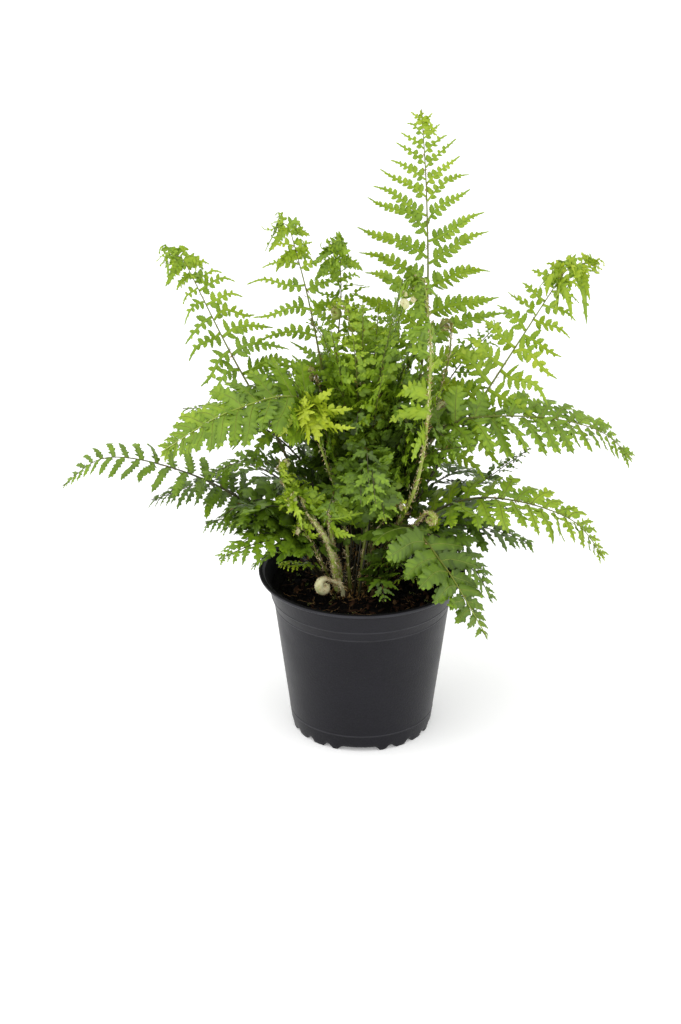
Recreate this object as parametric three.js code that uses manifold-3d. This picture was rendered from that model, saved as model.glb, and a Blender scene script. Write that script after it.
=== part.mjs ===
// A soft shield fern in a round black nursery pot.
// Millimetres, +Z up. The pot stands on z = 0 with its axis on the Z axis.
// Azimuths are in degrees: 0 points right, 90 away from the viewer, 180 left and 270 to the viewer.
import * as THREE from "three";
import Module from "manifold-3d";

const wasm = await Module();
wasm.setup();

// Cut bodies lose the points that stand out by less than this.
const SLIVER = 0.02;

// The pot
const POT_HEIGHT = 108;
const RIM_RADIUS = 65;
const BASE_RADIUS = 44.2;
const WALL = 1.4;
const POT_SIDES = 32;
// The wall's radius at some heights above its foot
const WALL_RADII = [[0, 44.2], [5, 44.9], [11, 45.6], [85, 55.2], [91.5, 57.2], [103.5, 60.4]];
const FLOOR_UNDERSIDE = 2.5;
const FLOOR_TOP = 4.4;
const CENTRE_DISC_RADIUS = 14;
const FOOT_INNER_RADIUS = 39.5;
const UPPER_LINE_HEIGHT = 91.5;
const LOWER_LINE_HEIGHT = 85;
const LINE_RELIEF = 0.45;
const NOTCH_HEIGHT = 2.6;
const WIDE_NOTCH_ANGLE = 31;
const NARROW_NOTCH_ANGLE = 5;
const FIRST_WIDE_NOTCH = -92.5;
const NARROW_NOTCH_STEPS = [27, 45, 63];
const DRAIN_HOLES = 4;
const DRAIN_HOLE_RADIUS = 4.5;
const DRAIN_CIRCLE_RADIUS = 27;

// The soil and the crown that the stems grow from
const TOUCHING_GAP = 0.3;
const SOIL_LEVEL = 96.5;
const SOIL_SIDES = 20;
const SOIL_BUMP = 1.1;
const CROWN_AT = [-5, -2];
const CROWN_RADIUS = 26;
const CROWN_TOP = 104;
const CROWN_BOTTOM = 86;
const CROWN_SIDES = 10;
const CROWN_BUMP = 1.4;
const ROOT_HEIGHT = 95;
const HOLE_LENGTH = 15;

// What all stems and leaflets share
const BLADE_THICKNESS = 0.7;
const CLEAR_GAP = 0.3;
const OWN_GAP = 0.08;
const TOUCHING_VOLUME = 0.002;
const CURVE_STEPS = 20;
const CURL_STEPS = 20;
const CURL_CLOSING = 0.62;
const STEM_STEP = 34;
const BARE_CURL_RINGS = 8;
const BARE_STEM_END = 0.96;
const LAST_PAIR_AT = 0.985;
const STEM_THINNING = 0.68;
const LEAST_HALF_WIDTH = 0.45;
const TIP_BEYOND = 1.5;
const WIDEST_SWEEP = 74;
const SWEEP_LOST_TO_TIP = 20;
const SWEEP_SPREAD = 8;
const LEAFLET_LIFT = 6;
const LIFT_SPREAD = 16;
const LENGTH_SPREAD = 0.2;
const LEAST_DROOP = 0.05;
const DROOP_SPREAD = 0.08;
const LEVEL_DROOP = 0.13;
const SPACING_FILLED = 0.8;
const LEAST_STANDOFF = 0.4;
const USUAL_TAPER = 2.5;
const USUAL_SLIMNESS = 0.4;
const FIRST_SEED = 100;
const SEED_STEP = 37;

// The ways in which a leaflet may be bent clear of its neighbours: the angle that it is lifted by and its
// share of the full length.
const BENDS = [
  [0, 1], [15, 1], [-15, 1], [28, 1], [-28, 1],
  [0, 0.72], [18, 0.72], [-18, 0.72], [34, 0.72], [-34, 0.72],
  [0, 0.45], [25, 0.45], [-25, 0.45],
];

// Each stem: the azimuth that it leans to, where it is rooted on the crown (azimuth, radius), the points that
// its rib passes through (out along the azimuth, height, and sideways), the bare share of its length, its
// pairs of leaflets and their greatest length, its turn about the rib and its half width at the root. Some
// also have their own greatest sweep and taper, slimmer leaflets, leaflets with a lobe at the base, or a curl
// at the tip (radius and turns, outward, or inward where the turns are negative).
const FRONDS = [
  { name: "frond_tall", towards: 50, foot: [53, 11],
    through: [[47, 180, 1], [62, 257], [61, 336], [55, 396]], bare: 0.3, pairs: 16, leaflet: 46,
    roll: 36, thick: 1.7, sweep: 70, taper: 3, lobed: true },
  { name: "frond_left_front", towards: 197, foot: [174, 11],
    through: [[12, 160, -4], [40, 229], [85, 226], [128, 205]], bare: 0.45, pairs: 12, leaflet: 33,
    roll: -25, thick: 1.5 },
  { name: "frond_front_right", towards: 322, foot: [321, 17],
    through: [[18, 130, -3], [34, 147, 1], [62, 130], [97, 90]], bare: 0.3, pairs: 12, leaflet: 31,
    roll: 0, thick: 1.5, lobed: true },
  { name: "frond_right_upright", towards: 18, foot: [23, 12],
    through: [[41, 158], [90, 231], [128, 288]], bare: 0.36, pairs: 13, leaflet: 33, roll: 50,
    thick: 1.5, slim: 0.32, curl: [20, 0.36] },
  { name: "frond_left_upright", towards: 165, foot: [152, 13],
    through: [[50, 184, 2], [86, 249], [112, 302]], bare: 0.4, pairs: 12, leaflet: 30, roll: -45,
    thick: 1.5, slim: 0.3, curl: [10, 0.48] },
  { name: "frond_upper_left", towards: 135, foot: [108, 9], through: [[28, 201], [47, 276], [62, 316]],
    bare: 0.45, pairs: 11, leaflet: 34, roll: -35, thick: 1.5, slim: 0.26, curl: [8, 0.55] },
  { name: "frond_centre", towards: 118, foot: [103, 14],
    through: [[19, 147, -1], [29, 212, 4], [32, 278, -2], [29, 305]], bare: 0.45, pairs: 10, leaflet: 31,
    roll: -20, thick: 1.5, slim: 0.32, curl: [7, 0.55] },
  { name: "frond_far_right", towards: 5, foot: [2, 14],
    through: [[24, 154, -2], [50, 202], [100, 208], [148, 196], [169, 176]], bare: 0.38, pairs: 13,
    leaflet: 29, roll: 20, thick: 1.4 },
  { name: "frond_low_right", towards: 350, foot: [352, 18],
    through: [[32, 137, 2], [70, 160, 4], [130, 151, 3], [152, 128]], bare: 0.3, pairs: 12, leaflet: 27,
    roll: 20, thick: 1.4 },
  { name: "frond_low_right_dark", towards: 8, foot: [9, 18],
    through: [[39, 131], [75, 130, 3], [109, 117]], bare: 0.35, pairs: 8, leaflet: 20, roll: 10,
    thick: 1.2 },
  { name: "frond_front_right_short", towards: 335, foot: [336, 18],
    through: [[26, 134, -5], [50, 142, -1], [77, 122, 1], [88, 104]], bare: 0.35, pairs: 8, leaflet: 22,
    roll: 0, thick: 1.2 },
  { name: "frond_far_left", towards: 178, foot: [179, 18],
    through: [[63, 142, -4], [107, 172, 1], [160, 182, 1], [187, 162]], bare: 0.3, pairs: 13,
    leaflet: 21, roll: -15, thick: 1.4 },
  { name: "frond_left_dark", towards: 170, foot: [165, 18], through: [[60, 136], [95, 158], [135, 144]],
    bare: 0.32, pairs: 9, leaflet: 20, roll: -10, thick: 1.2 },
  { name: "frond_left_behind", towards: 160, foot: [132, 11], through: [[24, 186], [48, 225], [93, 211]],
    bare: 0.45, pairs: 9, leaflet: 26, roll: -10, thick: 1.3 },
  { name: "frond_left_thin", towards: 155, foot: [152, 18],
    through: [[42, 169, -4], [89, 200, 2], [125, 194]], bare: 0.4, pairs: 8, leaflet: 18, roll: -10,
    thick: 1.2 },
  { name: "frond_left_row", towards: 188, foot: [189, 14],
    through: [[39, 163, -1], [66, 188, 1], [99, 178]], bare: 0.4, pairs: 8, leaflet: 18, roll: -10,
    thick: 1.2 },
  { name: "frond_low_left", towards: 206, foot: [206, 17],
    through: [[43, 131, -7], [70, 141], [98, 136]], bare: 0.32, pairs: 7, leaflet: 22, roll: -10,
    thick: 1.2 },
  { name: "frond_low_left_dark", towards: 186, foot: [193, 18],
    through: [[39, 132], [66, 149], [98, 144]], bare: 0.32, pairs: 8, leaflet: 22, roll: 0, thick: 1.2 },
  { name: "frond_right_middle", towards: 35, foot: [35, 16],
    through: [[37, 173, 1], [70, 224], [106, 250]], bare: 0.36, pairs: 9, leaflet: 28, roll: 35,
    thick: 1.4 },
  { name: "frond_right_thin", towards: 20, foot: [22, 18],
    through: [[46, 132, -1], [80, 154], [113, 173]], bare: 0.4, pairs: 8, leaflet: 16, roll: 0,
    thick: 1.1 },
  { name: "frond_back_right", towards: 62, foot: [74, 14],
    through: [[30, 165, 3], [75, 205, -1], [135, 180]], bare: 0.34, pairs: 9, leaflet: 30, roll: 0,
    thick: 1.4 },
  { name: "frond_back", towards: 95, foot: [88, 17], through: [[28, 165], [70, 213], [140, 190]],
    bare: 0.34, pairs: 10, leaflet: 31, roll: 0, thick: 1.4 },
  { name: "frond_back_left", towards: 125, foot: [123, 15],
    through: [[28, 160, 1], [75, 198, 1], [140, 170]], bare: 0.34, pairs: 9, leaflet: 30, roll: 0,
    thick: 1.4 },
  { name: "frond_low_back_right", towards: 40, foot: [49, 18],
    through: [[37, 138], [80, 150], [128, 124]], bare: 0.32, pairs: 8, leaflet: 25, roll: 0, thick: 1.3 },
  { name: "frond_low_back", towards: 78, foot: [64, 18],
    through: [[37, 136, 7], [85, 158, -1], [128, 135]], bare: 0.32, pairs: 8, leaflet: 26, roll: 0,
    thick: 1.3 },
  { name: "frond_low_back_left", towards: 108, foot: [111, 18],
    through: [[36, 136], [85, 154], [125, 125]], bare: 0.32, pairs: 8, leaflet: 25, roll: 0, thick: 1.3 },
  { name: "frond_low_left_back", towards: 144, foot: [137, 18],
    through: [[38, 136], [85, 156, 1], [133, 130]], bare: 0.32, pairs: 8, leaflet: 24, roll: 0,
    thick: 1.3 },
  { name: "frond_inner_left", towards: 205, foot: [253, 4],
    through: [[14, 160, 1], [27, 215], [50, 250]], bare: 0.4, pairs: 7, leaflet: 24, roll: -20,
    thick: 1.3 },
  { name: "frond_inner_right", towards: 22, foot: [-8, 2], through: [[14, 165], [30, 220, 6], [62, 245]],
    bare: 0.4, pairs: 7, leaflet: 24, roll: 20, thick: 1.3 },
  { name: "frond_inner_front", towards: 280, foot: [274, 8], through: [[9, 150], [14, 182], [32, 204]],
    bare: 0.45, pairs: 7, leaflet: 20, roll: 0, thick: 1.2 },
  { name: "frond_inner_back", towards: 130, foot: [79, 9],
    through: [[14, 180, -1], [27, 238, -2], [50, 262]], bare: 0.45, pairs: 8, leaflet: 22, roll: -10,
    thick: 1.2 },
  { name: "frond_inner_low_right", towards: 342, foot: [367, 8],
    through: [[18, 150, 2], [38, 190, 1], [72, 203]], bare: 0.4, pairs: 8, leaflet: 22, roll: 15,
    thick: 1.2 },
  { name: "sprout_left", towards: 204, foot: [218, 18], through: [[32, 116], [56, 121]], bare: 0.4,
    pairs: 5, leaflet: 10, roll: 0, thick: 0.8 },
  { name: "sprout_front", towards: 300, foot: [291, 18], through: [[19, 117], [30, 124]], bare: 0.62,
    pairs: 4, leaflet: 10, roll: 0, thick: 0.8 },
  { name: "sprout_right", towards: 330, foot: [305, 18], through: [[33, 111], [50, 108]], bare: 0.4,
    pairs: 5, leaflet: 10, roll: 0, thick: 0.8 },
];

// Unrolling young fronds, written the same way. Their leaflets are short and start where the curl does.
const YOUNG = [
  { name: "crook_tall", towards: 330, foot: [332, 9],
    through: [[16, 125], [39, 178], [47, 262], [43, 306]], bare: 0.72, pairs: 8, leaflet: 15, roll: 0,
    thick: 1.9, curl: [7, -0.75] },
  { name: "crook_upper", towards: 150, foot: [170, 3], through: [[3, 180, -2], [2, 244], [10, 277]],
    bare: 0.78, pairs: 6, leaflet: 13, roll: 0, thick: 1.5, curl: [8, 0.6] },
  { name: "crook_left", towards: 210, foot: [261, 12], through: [[16, 150, 3], [30, 203, -1], [33, 222]],
    bare: 0.78, pairs: 6, leaflet: 20, roll: 0, thick: 1.6, curl: [8, 0.6] },
  { name: "crook_front_left", towards: 216, foot: [231, 15],
    through: [[29, 134, 5], [42, 160], [46, 170]], bare: 0.66, pairs: 6, leaflet: 15, roll: 0,
    thick: 2.1, curl: [7, 0.5] },
  { name: "crook_front", towards: 228, foot: [232, 9], through: [[24, 131, -3], [31, 156]], bare: 0.66,
    pairs: 5, leaflet: 17, roll: 0, thick: 1.8, curl: [7.5, -0.45] },
  { name: "crook_small_left", towards: 210, foot: [205, 12], through: [[33, 126, 2], [42, 146]],
    bare: 0.7, pairs: 3, leaflet: 8, roll: 0, thick: 1.2, curl: [4, 0.6] },
  { name: "crook_hairy_left", towards: 202, foot: [194, 8],
    through: [[30, 140, 3], [50, 170], [55, 186]], bare: 0.6, pairs: 5, leaflet: 12, roll: 0, thick: 1.5,
    curl: [5, -0.5] },
  { name: "crook_front_right", towards: 312, foot: [283, 14],
    through: [[14, 145, -8], [22, 180, -1], [22, 188]], bare: 0.68, pairs: 6, leaflet: 15, roll: 0,
    thick: 1.8, curl: [6, -0.5] },
  { name: "crook_short_right", towards: 318, foot: [307, 14], through: [[16, 140, -4], [28, 162]],
    bare: 0.7, pairs: 3, leaflet: 8, roll: 0, thick: 1.3, curl: [4, 0.6] },
  { name: "crozier_pale", towards: 232, foot: [249, 18], through: [[27, 108, 4], [35, 114]], bare: 1,
    pairs: 0, leaflet: 0, roll: 0, thick: 1.6, curl: [4.8, 0.9] },
  { name: "crozier_back", towards: 148, foot: [142, 7], through: [[14, 170], [34, 232]], bare: 1,
    pairs: 0, leaflet: 0, roll: 0, thick: 1.3, curl: [5, 1] },
  { name: "crozier_centre", towards: 330, foot: [299, 10], through: [[10, 160, 1], [16, 208]], bare: 1,
    pairs: 0, leaflet: 0, roll: 0, thick: 1.4, curl: [5, -1] },
  { name: "crozier_right", towards: 18, foot: [42, 6], through: [[25, 150], [56, 208]], bare: 1,
    pairs: 0, leaflet: 0, roll: 0, thick: 1.3, curl: [4.4, -1] },
  { name: "crozier_low_right", towards: 331, foot: [343, 14], through: [[24, 130, 2], [44, 156]],
    bare: 1, pairs: 0, leaflet: 0, roll: 0, thick: 1.3, curl: [4.6, 0.9] },
  { name: "crozier_high_right", towards: 24, foot: [87, 4],
    through: [[31, 170, -1], [56, 240, -4], [60, 262]], bare: 1, pairs: 0, leaflet: 0, roll: 0,
    thick: 1.2, curl: [4, -1] },
];

const MATERIALS = {
  pot: new THREE.MeshStandardMaterial({ color: 0x303034, roughness: 0.5, metalness: 0 }),
  soil: new THREE.MeshStandardMaterial({ color: 0x2a1d15, roughness: 1, metalness: 0 }),
  crown: new THREE.MeshStandardMaterial({ color: 0x5b4326, roughness: 0.95, metalness: 0 }),
  frond: new THREE.MeshStandardMaterial({ color: 0x4f7f24, roughness: 0.6, metalness: 0 }),
  young: new THREE.MeshStandardMaterial({ color: 0xa3a052, roughness: 0.8, metalness: 0 }),
};

const radians = THREE.MathUtils.degToRad;

// Even random numbers from 0 to 1, the same ones for the same seed.
function drawsFrom(seed) {
  let state = seed;
  return () => {
    state = (state * 1664525 + 1013904223) % 4294967296;
    return state / 4294967296;
  };
}

function solidFrom(vertices, triangles) {
  const vertProperties = new Float32Array(vertices.flatMap((v) => [v.x, v.y, v.z]));
  const triVerts = new Uint32Array(triangles.flat());
  return new wasm.Manifold(new wasm.Mesh({ numProp: 3, vertProperties, triVerts }));
}

function meshFrom(name, vertices, triangles, material) {
  const geometry = new THREE.BufferGeometry();
  const positions = vertices.flatMap((v) => [v.x, v.y, v.z]);
  geometry.setAttribute("position", new THREE.Float32BufferAttribute(positions, 3));
  geometry.setIndex(triangles.flat());
  geometry.computeVertexNormals();
  const mesh = new THREE.Mesh(geometry, material);
  mesh.name = name;
  return mesh;
}

function meshFromSolid(name, solid, material) {
  const made = solid.getMesh();
  const vertices = [];
  for (let i = 0; i < made.vertProperties.length; i += made.numProp) {
    vertices.push(new THREE.Vector3().fromArray(made.vertProperties, i));
  }
  const triangles = [];
  for (let i = 0; i < made.triVerts.length; i += 3) {
    triangles.push([made.triVerts[i], made.triVerts[i + 1], made.triVerts[i + 2]]);
  }
  return meshFrom(name, vertices, triangles, material);
}

// A closed body turned about the Z axis. The profile runs from the axis at the bottom, up the outside and
// back to the axis at the top. Each of its points may be moved, ring by ring and side by side.
function turned(profile, sides, moved = (r, z) => [r, z]) {
  const vertices = [];
  const triangles = [];
  const inner = profile.slice(1, -1);
  vertices.push(new THREE.Vector3(0, 0, profile[0][1]));
  inner.forEach(([r, z], ring) => {
    for (let side = 0; side < sides; side += 1) {
      const angle = (2 * Math.PI * side) / sides;
      const [radius, height] = moved(r, z, ring, side);
      vertices.push(new THREE.Vector3(radius * Math.cos(angle), radius * Math.sin(angle), height));
    }
  });
  vertices.push(new THREE.Vector3(0, 0, profile[profile.length - 1][1]));
  const at = (ring, side) => 1 + ring * sides + (side % sides);
  const last = vertices.length - 1;
  for (let side = 0; side < sides; side += 1) {
    triangles.push([0, at(0, side + 1), at(0, side)]);
    triangles.push([last, at(inner.length - 1, side), at(inner.length - 1, side + 1)]);
    for (let ring = 0; ring + 1 < inner.length; ring += 1) {
      triangles.push([at(ring, side), at(ring, side + 1), at(ring + 1, side + 1)]);
      triangles.push([at(ring, side), at(ring + 1, side + 1), at(ring + 1, side)]);
    }
  }
  return solidFrom(vertices, triangles);
}

// A prism between two like loops of points, the first loop counter-clockwise seen from the second.
function prism(lower, upper) {
  const count = lower.length;
  const triangles = [];
  for (let i = 1; i + 1 < count; i += 1) {
    triangles.push([0, i + 1, i]);
    triangles.push([count, count + i, count + i + 1]);
  }
  for (let i = 0; i < count; i += 1) {
    const next = (i + 1) % count;
    triangles.push([i, next, count + next]);
    triangles.push([i, count + next, count + i]);
  }
  return solidFrom([...lower, ...upper], triangles);
}

// The pot

function potWallRadius(height) {
  const above = WALL_RADII.findIndex(([z]) => z >= height);
  const [z0, r0] = WALL_RADII[Math.max(above - 1, 0)];
  const [z1, r1] = WALL_RADII[above];
  return z1 === z0 ? r1 : r0 + ((r1 - r0) * (height - z0)) / (z1 - z0);
}

function raisedLine(height) {
  const half = 0.6;
  return [
    [potWallRadius(height - half), height - half],
    [potWallRadius(height) + LINE_RELIEF, height],
    [potWallRadius(height + half), height + half],
  ];
}

function potProfile() {
  return [
    [0, 0],
    [CENTRE_DISC_RADIUS, 0],
    [CENTRE_DISC_RADIUS + 1, FLOOR_UNDERSIDE],
    [FOOT_INNER_RADIUS - 1, FLOOR_UNDERSIDE],
    [FOOT_INNER_RADIUS, 0],
    [BASE_RADIUS, 0],
    [potWallRadius(5), 5],
    ...raisedLine(LOWER_LINE_HEIGHT),
    ...raisedLine(UPPER_LINE_HEIGHT),
    [potWallRadius(103.5), 103.5],
    [RIM_RADIUS - 0.5, POT_HEIGHT - 2.2],
    [RIM_RADIUS, POT_HEIGHT - 0.9],
    [RIM_RADIUS - 0.6, POT_HEIGHT],
    [RIM_RADIUS - 2.1, POT_HEIGHT],
    [potWallRadius(103.5) - WALL + 0.6, 104.5],
    [potWallRadius(UPPER_LINE_HEIGHT) - WALL, UPPER_LINE_HEIGHT],
    [potWallRadius(11) - WALL, FLOOR_TOP + 4],
    [BASE_RADIUS - WALL - 1.2, FLOOR_TOP],
    [0, FLOOR_TOP],
  ];
}

function onCircle(radius, degrees, height) {
  return new THREE.Vector3(radius * Math.cos(radians(degrees)), radius * Math.sin(radians(degrees)), height);
}

// A notch under the foot, narrower at its top, between two radii that clear the foot ring.
function notch(middle, angle) {
  const inner = FOOT_INNER_RADIUS - 1.6;
  const outer = BASE_RADIUS + 3;
  const loop = (height, half) => [
    onCircle(inner, middle - half, height),
    onCircle(outer, middle - half, height),
    onCircle(outer, middle + half, height),
    onCircle(inner, middle + half, height),
  ];
  return prism(loop(-1, angle / 2 + 1), loop(NOTCH_HEIGHT, angle / 2 - 1));
}

function footNotches() {
  const notches = [];
  for (let quarter = 0; quarter < 4; quarter += 1) {
    const wide = FIRST_WIDE_NOTCH + 90 * quarter;
    notches.push(notch(wide, WIDE_NOTCH_ANGLE));
    NARROW_NOTCH_STEPS.forEach((step) => notches.push(notch(wide + step, NARROW_NOTCH_ANGLE)));
  }
  return notches;
}

function drainHoles() {
  const sides = 6;
  return Array.from({ length: DRAIN_HOLES }, (_, hole) => {
    const middle = onCircle(DRAIN_CIRCLE_RADIUS, (360 * hole) / DRAIN_HOLES, 0);
    const loop = (height) =>
      Array.from({ length: sides }, (__, side) =>
        onCircle(DRAIN_HOLE_RADIUS, (360 * side) / sides, height).add(middle),
      );
    return prism(loop(FLOOR_UNDERSIDE - 1), loop(FLOOR_TOP + 1));
  });
}

function makePot() {
  const body = turned(potProfile(), POT_SIDES);
  return wasm.Manifold.difference([body, ...footNotches(), ...drainHoles()]).simplify(SLIVER);
}

// The soil and the crown

// The crown's lump, grown by a gap where the soil is cut to fit it.
function crownBody(grown) {
  const draws = drawsFrom(11);
  const profile = [
    [0, CROWN_BOTTOM - grown],
    [CROWN_RADIUS - 4 + grown, CROWN_BOTTOM - grown],
    [CROWN_RADIUS + grown, 97.5],
    [CROWN_RADIUS - 5 + grown, 101.5 + grown],
    [0, CROWN_TOP + grown],
  ];
  const moved = (r, z, ring) =>
    ring === 0 ? [r, z] : [r + CROWN_BUMP * (draws() - 0.5), z + CROWN_BUMP * 0.6 * (draws() - 0.5)];
  return turned(profile, CROWN_SIDES, moved).translate(CROWN_AT[0], CROWN_AT[1], 0);
}

function soilBody() {
  const draws = drawsFrom(23);
  const innerWall = (height) => potWallRadius(height) - WALL - TOUCHING_GAP - 0.25;
  const bottom = FLOOR_TOP + TOUCHING_GAP;
  const profile = [
    [0, bottom],
    [BASE_RADIUS - WALL - 1.2 - TOUCHING_GAP - 0.3, bottom],
    [potWallRadius(11) - WALL - TOUCHING_GAP - 0.3, FLOOR_TOP + 4],
    [innerWall(SOIL_LEVEL - 4), SOIL_LEVEL - 4],
    [innerWall(SOIL_LEVEL - 1) - 0.8, SOIL_LEVEL - 1],
    [50, SOIL_LEVEL],
    [42, SOIL_LEVEL + 0.4],
    [35, SOIL_LEVEL + 0.4],
    [29, SOIL_LEVEL - 0.2],
    [0, SOIL_LEVEL],
  ];
  const level = (r, z, ring) => (ring < 4 ? [r, z] : [r, z + 2 * SOIL_BUMP * (draws() - 0.5)]);
  return turned(profile, SOIL_SIDES, level);
}

// Stems

// The line of a stem's rib as close points, from its root in the crown to its tip.
function ribLine(stem) {
  const out = onCircle(1, stem.towards, 0);
  const aside = onCircle(1, stem.towards + 90, 0);
  const root = onCircle(stem.foot[1], stem.foot[0], ROOT_HEIGHT);
  root.x += CROWN_AT[0];
  root.y += CROWN_AT[1];
  const knots = stem.through.map(([reach, height, sideways = 0]) =>
    new THREE.Vector3(0, 0, height).addScaledVector(out, reach).addScaledVector(aside, sideways),
  );
  const curve = new THREE.CatmullRomCurve3([root, ...knots]);
  const line = curve.getPoints(CURVE_STEPS * knots.length);
  return stem.curl ? [...line, ...curlLine(line, out, stem.curl)] : line;
}

// The closing curl at a tip, turned from the rib's last direction in its upright plane.
function curlLine(line, out, [radius, turns]) {
  const end = line[line.length - 1].clone();
  const forward = end.clone().sub(line[line.length - 2]).normalize();
  const flat = new THREE.Vector3().crossVectors(new THREE.Vector3(0, 0, 1), out);
  const inward = new THREE.Vector3().crossVectors(forward, flat).normalize();
  const bend = inward.multiplyScalar(-Math.sign(turns));
  const total = 2 * Math.PI * Math.abs(turns);
  const points = [];
  for (let step = 1; step <= CURL_STEPS; step += 1) {
    const angle = (total * (step - 0.5)) / CURL_STEPS;
    const length = (radius * (1 - CURL_CLOSING * (step / CURL_STEPS)) * total) / CURL_STEPS;
    end.addScaledVector(forward, Math.cos(angle) * length).addScaledVector(bend, Math.sin(angle) * length);
    points.push(end.clone());
  }
  return points;
}

// A place on the rib at a distance from its root: the point, the rib's direction, the side and upper
// directions of the frond there, and the stem's half width.
function placesOn(stem) {
  const line = ribLine(stem);
  const lengths = [0];
  for (let i = 1; i < line.length; i += 1) {
    lengths.push(lengths[i - 1] + line[i].distanceTo(line[i - 1]));
  }
  const total = lengths[lengths.length - 1];
  const flat = onCircle(1, stem.towards + 90, 0);
  const pointAt = (distance) => {
    const wanted = Math.min(Math.max(distance, 0), total);
    const i = Math.max(1, lengths.findIndex((length) => length >= wanted));
    return line[i - 1].clone().lerp(line[i], (wanted - lengths[i - 1]) / (lengths[i] - lengths[i - 1]));
  };
  const placeAt = (distance) => {
    const point = pointAt(distance);
    const along = pointAt(distance + 1).sub(pointAt(distance - 1)).normalize();
    const level = flat.clone().addScaledVector(along, -flat.dot(along)).normalize();
    const upper = new THREE.Vector3().crossVectors(along, level);
    const turn = radians(stem.roll);
    const side = level.clone().multiplyScalar(Math.cos(turn)).addScaledVector(upper, Math.sin(turn));
    const up = upper.clone().multiplyScalar(Math.cos(turn)).addScaledVector(level, -Math.sin(turn));
    return { point, along, side, up, half: stemHalfWidth(stem, distance / total) };
  };
  return { total, placeAt };
}

// Where a stem has its rings: at its root, at the crown's surface, along its bare part, and at each pair of
// leaflets from there to the tip.
function ringDistances(stem, total) {
  const bareEnd = (stem.pairs ? stem.bare : BARE_STEM_END) * total;
  const [radius, turns] = stem.curl ?? [0, 0];
  const curlLength = radius * 2 * Math.PI * Math.abs(turns) * (1 - CURL_CLOSING / 2);
  const distances = [0, HOLE_LENGTH];
  const straightEnd = stem.pairs ? bareEnd : total - curlLength;
  const straightSteps = Math.max(2, Math.round((straightEnd - HOLE_LENGTH) / STEM_STEP));
  for (let i = 1; i <= straightSteps; i += 1) {
    distances.push(HOLE_LENGTH + ((straightEnd - HOLE_LENGTH) * i) / straightSteps);
  }
  const curlSteps = stem.pairs ? 0 : BARE_CURL_RINGS;
  for (let i = 1; i <= curlSteps; i += 1) {
    distances.push(straightEnd + ((bareEnd - straightEnd) * i) / curlSteps);
  }
  const firstPair = distances.length - 1;
  for (let i = 1; i <= stem.pairs; i += 1) {
    distances.push(bareEnd + ((total * LAST_PAIR_AT - bareEnd) * i) / stem.pairs);
  }
  return { distances, firstPair };
}

// The half width at a share of the stem's length.
function stemHalfWidth(stem, share) {
  return Math.max(LEAST_HALF_WIDTH, stem.thick * (1 - STEM_THINNING * share));
}

function ringAround(place, half) {
  const corner = (side, up) =>
    place.point.clone().addScaledVector(place.side, side * half).addScaledVector(place.up, up * half);
  return [corner(1, 1), corner(-1, 1), corner(-1, -1), corner(1, -1)];
}

// Leaflets

// A leaflet's outline as shares of its length along it and of its width across it, towards the frond's tip
// where that is positive. The rows run from the rib outward, each with its lower and upper point.
const PLAIN_ROWS = [[[0.34, -0.5], [0.26, 0.5]]];
const LOBED_ROWS = [[[0.27, -0.5], [0.16, 0.52]], [[0.62, -0.32], [0.52, 0.34]]];

function leafletLengthShare(share, taper = USUAL_TAPER) {
  const rising = Math.min(1, 0.72 + 1.3 * share);
  return rising * (0.1 + 0.9 * (1 - Math.pow(share, taper)));
}

// The points of one leaflet between two rings of its stem, or null where it would be too small.
function leafletPoints(stem, from, to, share, sign, draws, bend) {
  const middle = from.point.clone().lerp(to.point, 0.5);
  const along = to.point.clone().sub(from.point).normalize();
  const spacing = to.point.distanceTo(from.point);
  const widest = stem.sweep ?? WIDEST_SWEEP;
  const sweep = radians(widest - SWEEP_LOST_TO_TIP * share + SWEEP_SPREAD * (draws.sweep - 0.5));
  const lift = radians(LEAFLET_LIFT + LIFT_SPREAD * (draws.lift - 0.5) + bend[0]);
  const varied = 1 + LENGTH_SPREAD * (draws.length - 0.5);
  const length = stem.leaflet * leafletLengthShare(share, stem.taper) * varied * bend[1];
  const side = from.side.clone().multiplyScalar(sign);
  const outward = side.multiplyScalar(Math.cos(lift)).addScaledVector(from.up, Math.sin(lift));
  const reach = along.clone().multiplyScalar(Math.cos(sweep)).addScaledVector(outward, Math.sin(sweep));
  const across = along.clone().addScaledVector(reach, -along.dot(reach)).normalize();
  const facing = new THREE.Vector3().crossVectors(across, reach).multiplyScalar(sign);
  const slim = stem.slim ?? USUAL_SLIMNESS;
  const width = Math.min(SPACING_FILLED * spacing * Math.sin(sweep), slim * length);
  const droop = LEAST_DROOP + DROOP_SPREAD * draws.droop + LEVEL_DROOP * (1 - Math.abs(along.z));
  const placed = (x, y) => {
    const least = (from.half + LEAST_STANDOFF + y * width * Math.cos(sweep)) / Math.sin(sweep);
    const out = Math.max(least, from.half + x * (length - from.half));
    const point = middle.clone().addScaledVector(reach, out).addScaledVector(across, y * width);
    point.z -= droop * length * x * x;
    return point;
  };
  const rows = (stem.lobed ? LOBED_ROWS : PLAIN_ROWS).map((row) => row.map(([x, y]) => placed(x, y)));
  return { rows, tip: placed(1, 0.06), facing };
}

// The leaflet as a plate: its upper and lower points, then the tip, each pair a blade's thickness apart.
function plate(points, root) {
  const half = points.facing.clone().multiplyScalar(BLADE_THICKNESS / 2);
  const rows = points.rows.map((row) => row.map((p) => [p.clone().add(half), p.clone().sub(half)]));
  const tip = [points.tip.clone().add(half), points.tip.clone().sub(half)];
  return { rows: [root, ...rows], tip };
}

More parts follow.
